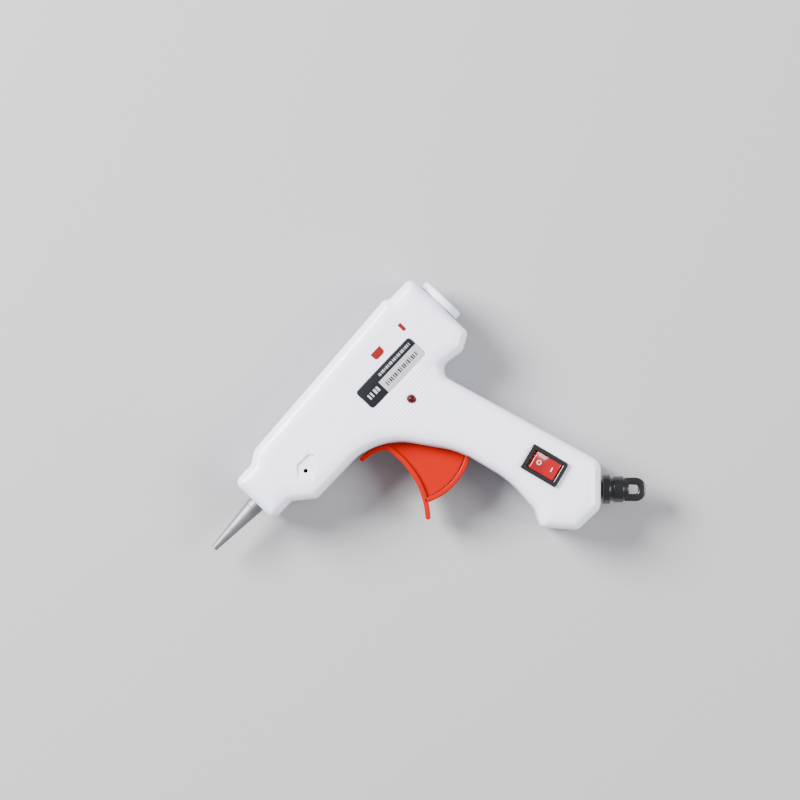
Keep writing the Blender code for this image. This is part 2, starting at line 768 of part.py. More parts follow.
def build_nozzle():
    """A tapered tube with a shoulder inside the nose and a spigot in the melt chamber."""
    tip = NOSE_X - NOZZLE_LENGTH
    shoulder = CHAMBER_FRONT - 0.0030
    spigot_end = CHAMBER_FRONT + 0.0045
    flow = SPIGOT_RADIUS - 0.0008
    profile = [
        (tip, TIP_BORE_RADIUS),
        (tip, TIP_RADIUS),
        (NOSE_X - 0.0024, NOZZLE_RADIUS - 0.0001),
        (NOSE_X - 0.0020, NOZZLE_RADIUS),
        (shoulder, NOZZLE_RADIUS),
        (shoulder, NOZZLE_RADIUS + 0.0012),
        (CHAMBER_FRONT - GAP, NOZZLE_RADIUS + 0.0012),
        (CHAMBER_FRONT - GAP, SPIGOT_RADIUS),
        (spigot_end, SPIGOT_RADIUS),
        (spigot_end, flow),
        (tip + 0.0060, flow),
        (tip + 0.0020, TIP_BORE_RADIUS),
    ]
    return finish(turned("nozzle", profile, 32), "nozzle_metal")


def build_melt_chamber():
    """A cast tube with a spring flange and a neck behind it, and a flat saddle on top for the heater."""
    rear = CHAMBER_FRONT + CHAMBER_LENGTH
    neck_end = rear + NECK_LENGTH
    throat = CHAMBER_FRONT + 0.0090
    profile = [
        (CHAMBER_FRONT, SPIGOT_RADIUS + GAP),
        (CHAMBER_FRONT, CHAMBER_RADIUS),
        (rear - FLANGE_LENGTH, CHAMBER_RADIUS),
        (rear - FLANGE_LENGTH, CHAMBER_RADIUS + FLANGE_STAND),
        (rear, CHAMBER_RADIUS + FLANGE_STAND),
        (rear, BORE_RADIUS + NECK_WALL),
        (neck_end, BORE_RADIUS + NECK_WALL),
        (neck_end, BORE_RADIUS),
        (throat + 0.0050, BORE_RADIUS),
        (throat, SPIGOT_RADIUS + GAP),
    ]
    chamber = turned("melt_chamber", profile, 32)
    start = heater_middle() - PTC_LENGTH / 2 - 0.0015
    half = PTC_WIDTH / 2 + 0.0010
    low = (start, BORE_RADIUS + 0.0010, MID - half)
    high = (start + PTC_LENGTH + 0.0030, SADDLE_TOP, MID + half)
    join(chamber, box("heater_saddle", low, high))
    return finish(chamber, "cast_aluminium")


def heater_middle():
    return CHAMBER_FRONT + 0.0135


def plate_heights():
    """Bottom heights of the inner contact plate, the heater and the outer plate, each over a gap."""
    inner = SADDLE_TOP + GAP
    ptc = inner + PLATE_THICKNESS + GAP
    outer = ptc + PTC_THICKNESS + GAP
    return inner, ptc, outer


def build_heater():
    """The heating element between its two contact plates, each plate with a tab at the rear."""
    inner, ptc, outer = plate_heights()
    start = heater_middle() - PTC_LENGTH / 2
    end = start + PTC_LENGTH
    half = PTC_WIDTH / 2
    element = box("ptc_element", (start, ptc, MID - half), (end, ptc + PTC_THICKNESS, MID + half))
    finish(element, "ceramic_grey", smooth=False)
    for name, bottom, side in (("contact_plate_inner", inner, -1), ("contact_plate_outer", outer, 1)):
        top = bottom + PLATE_THICKNESS
        plate = box(name, (start - 0.0004, bottom, MID - half), (end + 0.0004, top, MID + half))
        tab_low = (end - 0.0010, bottom, MID + side * 0.0016 - 0.0011)
        tab_high = (end + 0.0040, top, MID + side * 0.0016 + 0.0011)
        join(plate, box(f"{name}_tab", tab_low, tab_high))
        finish(plate, "contact_metal", smooth=False)


def clip_corners():
    """Half of the clip's section round the chamber and heater, across and up from the barrel's axis."""
    top = plate_heights()[2] + PLATE_THICKNESS + GAP + CLIP_THICKNESS / 2
    side = CHAMBER_RADIUS + GAP + CLIP_THICKNESS / 2
    return [
        (-side * 0.72, -CHAMBER_RADIUS * 0.80, 0.0),
        (-side, -CHAMBER_RADIUS * 0.35, 0.0015),
        (-side, top - 0.0010, 0.0014),
        (-side + 0.0026, top, 0.0010),
        (side - 0.0026, top, 0.0010),
        (side, top - 0.0010, 0.0014),
        (side, -CHAMBER_RADIUS * 0.35, 0.0015),
        (side * 0.72, -CHAMBER_RADIUS * 0.80, 0.0),
    ]


def build_heater_clip():
    """A spring strap over the heater stack, its legs gripping the chamber's sides."""
    corners = clip_corners()
    outline = strip(corners, CLIP_THICKNESS / 2) + strip(corners, -CLIP_THICKNESS / 2)[::-1]
    middle = heater_middle()
    cross = Matrix(((0, 0, 1, middle), (0, 1, 0, 0), (-1, 0, 0, MID), (0, 0, 0, 1)))
    clip = side_solid("heater_clip", outline, -CLIP_LENGTH / 2, CLIP_LENGTH / 2, cross)
    return finish(clip, "spring_steel")


def build_sleeve():
    """A soft tube pushed over the chamber's neck, which leads the stick in and keeps glue back."""
    start = CHAMBER_FRONT + CHAMBER_LENGTH + GAP
    neck_end = CHAMBER_FRONT + CHAMBER_LENGTH + NECK_LENGTH + GAP
    end = start + SLEEVE_LENGTH
    inside = BORE_RADIUS + NECK_WALL + GAP
    profile = [
        (start, inside),
        (start, SLEEVE_RADIUS),
        (end, SLEEVE_RADIUS),
        (end, BORE_RADIUS + 0.0006),
        (end - 0.0015, BORE_RADIUS),
        (neck_end, BORE_RADIUS),
        (neck_end, inside),
    ]
    return finish(turned("inlet_sleeve", profile, 32), "silicone_red")


def build_return_spring():
    """An open coil between the chamber's flange and the carriage's front ring."""
    start = CHAMBER_FRONT + CHAMBER_LENGTH + GAP + SPRING_WIRE / 2
    end = CARRIAGE_FRONT - GAP - SPRING_WIRE / 2
    radius = (STRAP_INNER + STRAP_OUTER) / 2
    per_turn = 12
    points = []
    for step in range(SPRING_TURNS * per_turn + 1):
        share = step / (SPRING_TURNS * per_turn)
        angle = 2 * math.pi * step / per_turn
        x = start + (end - start) * share
        points.append((x, radius * math.cos(angle), MID + radius * math.sin(angle)))
    return finish(wire("return_spring", points, SPRING_WIRE / 2), "spring_steel")


# Feed


def build_carriage():
    """The slider round the stick: a front ring, two straps with drive pins, and a body with side wings."""
    body_end = CARRIAGE_BODY_START + CARRIAGE_BODY_LENGTH
    carriage = rod("feed_carriage", (CARRIAGE_BODY_START, 0, MID), (body_end, 0, MID), STRAP_OUTER, 32)
    ring_end = CARRIAGE_FRONT + 0.0016
    ring = rod("carriage_ring", (CARRIAGE_FRONT, 0, MID), (ring_end, 0, MID), STRAP_OUTER, 32)
    straps = []
    for side in (-1, 1):
        near = MID + side * (STRAP_INNER - 0.0002)
        far = MID + side * (STRAP_OUTER - 0.0001)
        low = (CARRIAGE_FRONT + 0.0008, -STRAP_HALF_HEIGHT, min(near, far))
        high = (CARRIAGE_BODY_START + 0.0010, STRAP_HALF_HEIGHT, max(near, far))
        straps.append(box(f"strap_{side}", low, high))
        pin_start = (FEED_HALF, 0.0, MID + side * (STRAP_INNER + 0.0003))
        pin_end = (FEED_HALF, 0.0, MID + side * (ARM_OUTER + GAP))
        straps.append(rod(f"drive_pin_{side}", pin_start, pin_end, DRIVE_PIN_RADIUS, 16))
        wing_far = MID + side * (INNER_HALF - 2 * GAP)
        wing_near = MID + side * (STRAP_OUTER - 0.0008)
        low = (CARRIAGE_BODY_START + 0.0020, -WING_HALF_HEIGHT, min(wing_near, wing_far))
        high = (body_end - 0.0005, WING_HALF_HEIGHT, max(wing_near, wing_far))
        straps.append(box(f"wing_{side}", low, high))
        lug_near = MID + side * (JAW_HALF_WIDTH + GAP)
        lug_far = MID + side * (JAW_HALF_WIDTH + GAP + JAW_LUG_THICKNESS)
        low = (JAW_PIVOT.x - 0.0022, JAW_PIVOT.y - 0.0018, min(lug_near, lug_far))
        high = (JAW_PIVOT.x + 0.0022, -BORE_RADIUS - 0.0010, max(lug_near, lug_far))
        straps.append(box(f"jaw_lug_{side}", low, high))
    join(carriage, ring, *straps)
    ring_bore = (CARRIAGE_FRONT - 0.001, 0, MID), (CARRIAGE_BODY_START, 0, MID)
    stick_bore = (CARRIAGE_BODY_START - 0.001, 0, MID), (body_end + 0.001, 0, MID)
    window_low = (JAW_PIVOT.x - 0.0056, -STRAP_OUTER - 0.001, MID - JAW_HALF_WIDTH - GAP)
    window_high = (JAW_PIVOT.x + 0.0022, 0.0, MID + JAW_HALF_WIDTH + GAP)
    reach = JAW_HALF_WIDTH + JAW_LUG_THICKNESS + 0.002
    pin_hole = (*JAW_PIVOT, MID - reach), (*JAW_PIVOT, MID + reach)
    cut(
        carriage,
        rod("ring_bore", *ring_bore, SLEEVE_RADIUS + GAP, 32),
        rod("stick_bore", *stick_bore, BORE_RADIUS + GAP, 32),
        box("jaw_window", window_low, window_high),
        rod("jaw_pin_hole", *pin_hole, JAW_PIN_RADIUS + GAP, 16),
    )
    return finish(carriage, "carriage_nylon", origin=(FEED_HALF, 0.0, MID))


def build_jaw():
    """A toothed lever on the carriage, whose tip swings up onto the stick."""
    tip_y = -BORE_RADIUS - 0.0003 - JAW_PIVOT.y
    corners = [
        (-0.0014, -0.0015, 0.0008),
        (0.0016, -0.0016, 0.0010),
        (0.0015, 0.0012, 0.0006),
        (-0.0022, tip_y - 0.0002, 0.0),
        (-0.0027, tip_y - 0.0008, 0.0),
        (-0.0033, tip_y, 0.0),
        (-0.0038, tip_y - 0.0007, 0.0),
        (-0.0043, tip_y, 0.0),
        (-0.0044, tip_y - 0.0016, 0.0004),
    ]
    outline = [JAW_PIVOT + point for point in rounded(corners)]
    jaw = flat_solid("clamp_jaw", outline, MID - JAW_HALF_WIDTH, MID + JAW_HALF_WIDTH)
    reach = JAW_HALF_WIDTH + 0.001
    bore = (*JAW_PIVOT, MID - reach), (*JAW_PIVOT, MID + reach)
    cut(jaw, rod("jaw_bore", *bore, JAW_PIN_RADIUS + GAP, 16))
    return finish(jaw, "spring_steel", origin=(*JAW_PIVOT, MID))


def build_jaw_pin():
    reach = JAW_HALF_WIDTH + GAP + JAW_LUG_THICKNESS
    pin = rod("jaw_pin", (*JAW_PIVOT, MID - reach), (*JAW_PIVOT, MID + reach), JAW_PIN_RADIUS, 16)
    return finish(pin, "spring_steel")


def build_inlet_collar():
    """The ring in the rear wall that the stick goes in through, flanged inside and out."""
    inner_start = REAR_X - WALL - GAP - 0.0016
    tube = INLET_RADIUS + INLET_WALL
    flange = INLET_RADIUS + INLET_FLANGE
    end = REAR_X + INLET_STAND
    profile = [
        (inner_start, INLET_RADIUS),
        (inner_start, flange),
        (REAR_X - WALL - GAP, flange),
        (REAR_X - WALL - GAP, tube),
        (REAR_X + GAP, tube),
        (REAR_X + GAP, flange),
        (end - 0.0008, flange),
        (end, flange - 0.0008),
        (end, INLET_RADIUS + 0.0006),
        (end - 0.0006, INLET_RADIUS),
    ]
    return finish(turned("inlet_collar", profile, 36, inlet_frame()), "collar_white")


# Trigger


def blade_corners():
    """The finger blade's middle line, from its toe round the bend and down to the tip."""
    places = [
        (TOE, 0.0),
        (TOE_CURVE, TOE_RADIUS),
        (BEND, BEND_RADIUS),
        (BLADE_KNEE, BLADE_RADIUS),
        (TIP, 0.0),
    ]
    return [corner(PIVOT + place, radius) for place, radius in places]


def blade_outline():
    corners = blade_corners()
    half = TRIGGER_WALL / 2
    return strip(corners, half) + strip(corners, -half)[::-1]


def rim_span():
    """Where the rim's arc starts at the blade and ends inside the handle, as angles."""
    return math.radians(-119), math.radians(-58)


def rim_outline():
    centre = PIVOT + RIM_CENTRE
    first, last = rim_span()
    outer = arc(centre, RIM_RADIUS, first, last)
    return outer + arc(centre, RIM_RADIUS - TRIGGER_WALL, first, last)[::-1]


def web_outline(inset):
    """The trigger's cheek between blade and rim, open towards the handle; an inset gives the hollow."""
    centre = PIVOT + RIM_CENTRE
    radius = RIM_RADIUS - TRIGGER_WALL / 2 - inset
    blade = strip(blade_corners()[2:], inset)
    blade = [point for point in blade if (point - centre).length < radius]
    first = math.atan2(blade[-1].y - centre.y, blade[-1].x - centre.x)
    points = blade + arc(centre, radius, first + math.radians(2), rim_span()[1])
    if inset > 0:
        return points + [PIVOT + Vector((0.0300, -0.0250)), PIVOT + Vector((0.0080, -0.0058))]
    return points + [PIVOT + Vector((0.0140, -0.0160)), PIVOT + Vector((0.0080, -0.0040)), PIVOT]


def arm(side):
    """The lever from the hub up to the carriage, with an open slot for the drive pin."""
    lean = Matrix.Rotation(-TRIGGER_SWING / 2, 4, "Z")
    place = Matrix.Translation((*PIVOT, 0.0)) @ lean
    near = MID + side * ARM_INNER
    far = MID + side * ARM_OUTER
    low = min(near, far)
    high = max(near, far)
    half = ARM_WIDTH / 2
    slot = DRIVE_PIN_RADIUS + GAP
    reach = LEVER / math.cos(TRIGGER_SWING / 2)
    corners = [
        (-half, 0.0, 0.0),
        (half, 0.0, 0.0),
        (half, reach + 0.0026, 0.0008),
        (slot, reach + 0.0026, 0.0),
        (slot, reach - slot - 0.0004, 0.0),
        (-slot, reach - slot - 0.0004, 0.0),
        (-slot, reach + 0.0026, 0.0),
        (-half, reach + 0.0026, 0.0008),
    ]
    return side_solid(f"arm_{side}", rounded(corners), low, high, place)


def build_trigger():
    """One moulding: blade, rim and two cheeks, with a hub and two arms above them."""
    trigger = flat_solid("trigger", web_outline(0.0), MID - WEB_HALF_WIDTH, MID + WEB_HALF_WIDTH)
    hollow_half = WEB_HALF_WIDTH - WEB_WALL
    hollow = web_outline(TRIGGER_WALL * 0.8)
    cut(trigger, flat_solid("web_hollow", hollow, MID - hollow_half, MID + hollow_half))
    wide = MID - TRIGGER_HALF_WIDTH, MID + TRIGGER_HALF_WIDTH
    join(
        trigger,
        flat_solid("blade", blade_outline(), *wide),
        flat_solid("rim", rim_outline(), *wide),
        rod("hub", (*PIVOT, MID - ARM_OUTER), (*PIVOT, MID + ARM_OUTER), HUB_RADIUS),
        arm(-1),
        arm(1),
    )
    reach = ARM_OUTER + 0.001
    cut(trigger, rod("hub_bore", (*PIVOT, MID - reach), (*PIVOT, MID + reach), PIVOT_PIN_RADIUS + GAP))
    return finish(trigger, "trigger_orange", origin=(*PIVOT, MID))


def build_pivot_pin():
    reach = INNER_HALF - GAP
    pin = rod("trigger_pivot_pin", (*PIVOT, MID - reach), (*PIVOT, MID + reach), PIVOT_PIN_RADIUS, 20)
    return finish(pin, "spring_steel")


# Switch, lamp and leads


def build_switch():
    """A snap-in frame with a rocker on a cross pivot and two blade terminals underneath."""
    place = switch_matrix()
    half_length = BEZEL_LENGTH / 2
    half_width = BEZEL_WIDTH / 2
    body_length = half_length - BEZEL_RIM / 2 - GAP
    body_width = half_width - BEZEL_RIM / 2 - GAP
    corners = [
        (-half_length, -half_width, 0.0008),
        (half_length, -half_width, 0.0008),
        (half_length, half_width, 0.0008),
        (-half_length, half_width, 0.0008),
    ]
    frame = flat_solid("switch_frame", rounded(corners), GAP, GAP + BEZEL_THICKNESS)
    body_low = (-body_length, -body_width, -SWITCH_BODY_DEPTH)
    body = box("switch_body", body_low, (body_length, body_width, GAP + 0.0004))
    pocket_length = half_length - BEZEL_RIM
    pocket_width = half_width - BEZEL_RIM + 0.0004
    pocket_low = (-pocket_length, -pocket_width, -0.0045)
    pocket = box("rocker_pocket", pocket_low, (pocket_length, pocket_width, 0.005))
    for piece in (frame, body, pocket):
        piece.data.transform(place)
    join(frame, body)
    cut(frame, pocket)
    finish(frame, "switch_black", smooth=False)
    build_rocker(place, pocket_length - 2 * GAP, pocket_width - GAP)
    for index, along in enumerate((-0.0030, 0.0030)):
        top = -SWITCH_BODY_DEPTH - GAP
        low = (along - 0.00025, -0.0014, top - TERMINAL_LENGTH)
        terminal = box(f"switch_terminal_{index + 1}", low, (along + 0.00025, 0.0014, top))
        terminal.data.transform(place)
        finish(terminal, "contact_metal", smooth=False)


def build_rocker(place, half_length, half_width):
    """A shallow V seen from the side, tipped half its swing towards the handle's end."""
    stand = GAP + ROCKER_STAND
    reach = half_length * 0.985
    corners = [
        (-reach, stand - ROCKER_THICKNESS + 0.0009, 0.0006),
        (0.0, stand - ROCKER_THICKNESS - 0.0006, 0.0030),
        (reach, stand - ROCKER_THICKNESS + 0.0009, 0.0006),
        (reach, stand, 0.0003),
        (0.0, stand - 0.0008, 0.0100),
        (-reach, stand, 0.0003),
    ]
    tip = Matrix.Rotation(ROCKER_SWING / 2, 4, "Y")
    upright = Matrix.Rotation(math.pi / 2, 4, "X")
    rocker = side_solid("switch_rocker", rounded(corners), -half_width, half_width, place @ tip @ upright)
    return finish(rocker, "rocker_red", origin=place.translation)


def build_led():
    """A domed lamp behind the left side, with a flange and two legs."""
    face = HOUSING_WIDTH
    base = face - WALL - GAP - 0.0008
    flange = LED_RADIUS + 0.0005
    profile = [(base, 0.0), (base, flange), (base + 0.0008, flange), (base + 0.0008, LED_RADIUS)]
    for angle in (0.0, 0.4, 0.8, 1.2):
        profile.append((face + LED_RADIUS * math.sin(angle), LED_RADIUS * math.cos(angle)))
    profile.append((face + LED_RADIUS, 0.0))
    led = turned("indicator_led", profile, 24, Matrix.Translation((LED_X, LED_Y, 0.0)), closed=False)
    for index, side in enumerate((-1, 1)):
        x = LED_X + side * 0.0009
        low = (x - 0.00025, LED_Y - 0.00025, base - 0.0032)
        join(led, box(f"led_leg_{index}", low, (x + 0.00025, LED_Y + 0.00025, base + 0.0003)))
    return finish(led, "led_red")


def build_resistor():
    """The lamp's series resistor: a waisted body with a lead at each end."""
    x = LED_X + 0.0075
    z = HOUSING_WIDTH - WALL - 0.0020
    body = 0.0030
    lead = 0.00025
    profile = [
        (-body - 0.0030, 0.0),
        (-body - 0.0030, lead),
        (-body, lead),
        (-body, 0.0010),
        (-body + 0.0012, 0.0010),
        (-body + 0.0016, 0.0008),
        (body - 0.0016, 0.0008),
        (body - 0.0012, 0.0010),
        (body, 0.0010),
        (body, lead),
        (body + 0.0030, lead),
        (body + 0.0030, 0.0),
    ]
    place = Matrix.Translation((x, LED_Y + 0.0020, z)) @ Matrix.Rotation(math.pi / 2, 4, "X")
    return finish(turned("led_resistor", profile, 16, place, closed=False), "resistor_tan")


def build_leads():
    """Insulated leads from the gland to the switch and the heater, laid along the right shell's wall."""
    side = WALL + GAP + LEAD_RADIUS + 0.0005
    second = side + 2 * LEAD_RADIUS + GAP
    inner, _, outer = plate_heights()
    tab_end = heater_middle() + PTC_LENGTH / 2 + 0.0040
    frame = gland_frame()
    first = frame @ Vector((0.0, -0.0011, -0.0042))
    other = frame @ Vector((0.0, 0.0011, -0.0042))
    low_terminal = switch_matrix() @ Vector((0.0030, 0.0, -SWITCH_BODY_DEPTH - TERMINAL_LENGTH - 2 * GAP))
    high_terminal = switch_matrix() @ Vector((-0.0030, 0.0, -SWITCH_BODY_DEPTH - TERMINAL_LENGTH - 2 * GAP))
    drop = Vector((0.0, 0.0, -LEAD_RADIUS))
    live = [
        first,
        (*grip(GRIP_LENGTH - 0.0100, -0.0030), MID - 0.0030),
        (*grip(GRIP_LENGTH - 0.0160, -0.0010), side + 0.0020),
        low_terminal + drop,
    ]
    up = CHAMBER_RADIUS - 0.0004
    handle = [(SWITCH_DOWN - 0.0190, -0.0010), (SWITCH_DOWN - 0.0330, 0.0030), (0.0060, 0.0030)]
    barrel = [(0.0295, -0.0080), (0.0310, 0.0010), (0.0270, up), (0.0050, up), (-0.0060, up)]
    route = [grip(down, back) for down, back in handle] + [Vector(point) for point in barrel]
    neutral = [
        other,
        (*grip(GRIP_LENGTH - 0.0120, 0.0036), side + 0.0020),
        (*grip(SWITCH_DOWN, 0.0052), side),
        *[(*point, side) for point in route],
        (tab_end + 0.0058, 0.0072, side + 0.0006),
        (tab_end + GAP + LEAD_RADIUS, inner + PLATE_THICKNESS / 2, MID - 0.0016),
    ]
    switched = [
        high_terminal + drop,
        (*grip(SWITCH_DOWN - 0.0110, -0.0010), second + 0.0016),
        *[(*point, second) for point in route],
        (tab_end + 0.0058, 0.0084, second + 0.0010),
        (tab_end + GAP + LEAD_RADIUS, outer + PLATE_THICKNESS / 2, MID + 0.0016),
    ]
    finish(wire("lead_live", smooth_route(live), LEAD_RADIUS), "lead_brown")
    finish(wire("lead_neutral", smooth_route(neutral), LEAD_RADIUS), "lead_blue")
    finish(wire("lead_switched", smooth_route(switched), LEAD_RADIUS), "lead_brown")


def build_gland():
    """A flanged gland gripping the handle's end wall, with a barrel body and an arched hanging eye."""
    frame = gland_frame()
    flange_end = GLAND_STAND + GLAND_FLANGE
    body_end = flange_end + GLAND_BODY
    inner = -WALL - GAP
    ring = flange_end + GLAND_BODY * 0.40
    profile = [
        (inner - 0.0016, CABLE_RADIUS),
        (inner - 0.0016, GLAND_FLANGE_RADIUS - 0.0004),
        (inner, GLAND_FLANGE_RADIUS - 0.0004),
        (inner, GLAND_NECK_RADIUS),
        (GLAND_STAND, GLAND_NECK_RADIUS),
        (GLAND_STAND, GLAND_FLANGE_RADIUS),
        (flange_end, GLAND_FLANGE_RADIUS),
        (flange_end, GLAND_BODY_RADIUS),
        (ring, GLAND_BODY_RADIUS),
        (ring, GLAND_BODY_RADIUS + 0.0004),
        (ring + 0.0018, GLAND_BODY_RADIUS + 0.0004),
        (ring + 0.0018, GLAND_BODY_RADIUS),
        (body_end, GLAND_BODY_RADIUS - 0.0003),
        (body_end, CABLE_RADIUS),
    ]
    gland = turned("cable_gland", profile, 30, frame)
    half = EYE_WIDTH / 2
    window = WINDOW_WIDTH / 2
    root = body_end - 0.0013
    corners = [
        (root, -half, 0.0),
        (body_end + EYE_LENGTH, -half, EYE_ROUND),
        (body_end + EYE_LENGTH, half, EYE_ROUND),
        (root, half, 0.0),
        (root, window, 0.0),
        (body_end + WINDOW_LENGTH, window, 0.0011),
        (body_end + WINDOW_LENGTH, -window, 0.0011),
        (root, -window, 0.0),
    ]
    lay = frame @ Matrix(((0, 0, -1, 0), (0, 1, 0, 0), (1, 0, 0, 0), (0, 0, 0, 1)))
    thick = EYE_THICKNESS / 2
    join(gland, side_solid("gland_eye", rounded(corners), -thick, thick, lay))
    return finish(gland, "gland_black")


build_left_shell()
finish(build_shell(-1, "right"), "shell_white")
build_screws()
build_label()
build_nozzle()
build_melt_chamber()
build_heater()
build_heater_clip()
build_sleeve()
build_return_spring()
build_carriage()
build_jaw()
build_jaw_pin()
build_inlet_collar()
build_trigger()
build_pivot_pin()
build_switch()
build_led()
build_resistor()
build_leads()
build_gland()
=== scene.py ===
import math
from functools import partial

import bmesh
import bpy
import numpy as np
from mathutils import Matrix, Vector, geometry


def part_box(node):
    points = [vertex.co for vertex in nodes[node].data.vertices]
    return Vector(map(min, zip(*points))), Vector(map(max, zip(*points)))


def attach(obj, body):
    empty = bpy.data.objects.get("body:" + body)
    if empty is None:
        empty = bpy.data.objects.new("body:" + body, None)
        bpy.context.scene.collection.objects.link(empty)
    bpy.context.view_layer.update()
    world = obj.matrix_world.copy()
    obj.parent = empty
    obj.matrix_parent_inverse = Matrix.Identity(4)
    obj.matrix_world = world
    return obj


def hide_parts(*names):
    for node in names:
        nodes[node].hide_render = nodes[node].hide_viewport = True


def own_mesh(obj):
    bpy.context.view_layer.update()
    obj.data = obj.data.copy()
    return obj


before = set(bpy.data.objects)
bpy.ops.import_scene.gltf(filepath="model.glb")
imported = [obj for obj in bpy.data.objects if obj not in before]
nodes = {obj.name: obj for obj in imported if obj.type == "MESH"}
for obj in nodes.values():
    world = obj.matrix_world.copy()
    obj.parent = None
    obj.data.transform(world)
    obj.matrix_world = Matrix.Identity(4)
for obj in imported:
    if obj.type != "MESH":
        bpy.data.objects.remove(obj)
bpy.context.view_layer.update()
mm = 0.001

# the planes that the whole gun is laid out from
leftLow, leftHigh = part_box("left_shell")
rightLow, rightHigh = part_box("right_shell")
midZ = (leftLow.z + rightHigh.z) / 2
faceHalf = leftHigh.z - midZ
partGap = (leftLow.z - rightHigh.z) / 2
noseX, rearX = leftLow.x, leftHigh.x
pivotLow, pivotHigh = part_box("trigger_pivot_pin")
pivot = np.array([(pivotLow.x + pivotHigh.x) / 2, (pivotLow.y + pivotHigh.y) / 2])

print("frame loaded")


handle = {
    "root": (22.6, -16.4), "lean": math.radians(13),   # where its axis starts, mm, and how far it leans
    "endBack": (69.6, 12.0), "endFront": (78.4, -3.1),   # both corners of its slanted end: down, back
    "glandShift": 1.6,   # from the middle of that end to the gland's axis
    "switchDown": 52.0,
}


def gripPoint(down, back):
    # the handle's own frame: down along it and back across it
    sin, cos = math.sin(handle["lean"]), math.cos(handle["lean"])
    return handle["root"][0] + down * sin + back * cos, handle["root"][1] - down * cos + back * sin


def handleEnd():
    # where the gland's axis leaves the handle's slanted end, and the direction along that end
    backEnd, frontEnd = np.array(gripPoint(*handle["endBack"])), np.array(gripPoint(*handle["endFront"]))
    along = (frontEnd - backEnd) / np.linalg.norm(frontEnd - backEnd)
    return (backEnd + frontEnd) / 2 + along * handle["glandShift"], along


housing = {
    # side view in mm, corner by corner and anticlockwise: x, y, corner radius
    "corners": [
        (-49.0, -8.9, 3.0), (-39.6, -8.9, 2.0), (-32.2, -15.1, 3.2), (-0.6, -15.1, 25.0),
        (*gripPoint(22.6, -11.3), 35.0), (*gripPoint(44.1, -11.3), 40.0), (*gripPoint(57.4, -15.9), 2.5),
        (*gripPoint(62.9, -20.5), 3.0), (*gripPoint(75.1, -14.3), 3.2), (*gripPoint(*handle["endFront"]), 4.5),
        (*gripPoint(*handle["endBack"]), 5.0), (*gripPoint(0.0, 9.7), 9.0), (44.3, -16.6, 4.0),
        (50.9, -13.2, 3.0), (50.9, 16.4, 3.0), (39.8, 16.4, 2.0), (38.2, 17.8, 2.0), (-35.0, 14.4, 4.0),
        (-40.0, 11.5, 2.0), (-49.0, 11.5, 3.0)],
    "spacing": 0.55,       # distance between outline points
    "wall": 1.5,           # thickness of the moulding
    "draft": 0.30,         # lean of the side wall
    "lip": 0.2, "lipInset": 0.18,   # the chamfer along the joint
    "roundStart": 8.4,     # height over the parting plane where the wall starts to roll over
    "roll": math.radians(50),   # how far round the edge rolls before the ridge
    "ridgeInset": 2.7,     # how far inside the outline the ridge line runs
    "ridgeDrop": 0.85,     # how far the ridge lies under the flat side
    "shoulder": 5.0,       # width of the soft shoulder inside the ridge
    "lattice": 0.75,       # spacing of the points that carry the flat side
}


def rays(angle):
    # unit vectors (cos a, sin a)
    return np.stack([np.cos(angle), np.sin(angle)], axis=1)


def outlineRing(corners, inset=0.0, spacing=0.6):
    # sides moved inwards by the inset; corner i is an arc of radius r - inset where it is convex and
    # r + inset where it is hollow; the number of points doesn't depend on the inset
    data = np.array(corners, float)
    spots, radii = data[:, :2], data[:, 2]

    def parts(shift):
        step = np.roll(spots, -1, axis=0) - spots
        length = np.linalg.norm(step, axis=1)
        onward = step / length[:, None]
        before = np.roll(onward, 1, axis=0)
        cross = before[:, 0] * onward[:, 1] - before[:, 1] * onward[:, 0]
        turn = np.arctan2(cross, (before * onward).sum(1))
        side = np.where(turn >= 0, 1.0, -1.0)
        normal = np.stack([-onward[:, 1], onward[:, 0]], axis=1)
        normalBefore = np.roll(normal, 1, axis=0)
        moved = spots + shift * (normal + normalBefore) / (1 + (normal * normalBefore).sum(1))[:, None]
        sideLength = np.linalg.norm(np.roll(moved, -1, axis=0) - moved, axis=1)
        half = np.tan(np.abs(turn) / 2)
        reach = np.maximum(radii - side * shift, 0.05) * half
        reach = np.minimum(reach, 0.49 * np.minimum(sideLength, np.roll(sideLength, 1)))
        radius = reach / np.maximum(half, 1e-9)
        start = moved - before * reach[:, None]
        end = moved + onward * reach[:, None]
        centre = start + normalBefore * (side * radius)[:, None]
        return turn, side, radius, start, end, centre, normalBefore

    turn0, _, radius0, start0, end0, _, _ = parts(0.0)
    turn, side, radius, start, end, centre, normalBefore = parts(inset)
    points = []
    for i in range(len(corners)):
        count = int(np.clip(np.ceil(abs(turn0[i]) * max(radius0[i], 0.6) / spacing), 5, 90))
        angle = np.linspace(0.0, turn[i], count + 1)
        first = np.arctan2(start[i, 1] - centre[i, 1], start[i, 0] - centre[i, 0])
        points.append(centre[i] + radius[i] * rays(first + angle))
        following = (i + 1) % len(corners)
        straight = np.linalg.norm(start0[following] - end0[i])
        share = np.linspace(0, 1, int(max(1, np.ceil(straight / spacing))) + 1)[1:-1, None]
        points.append(end[i] + (start[following] - end[i]) * share)
    return np.concatenate(points)


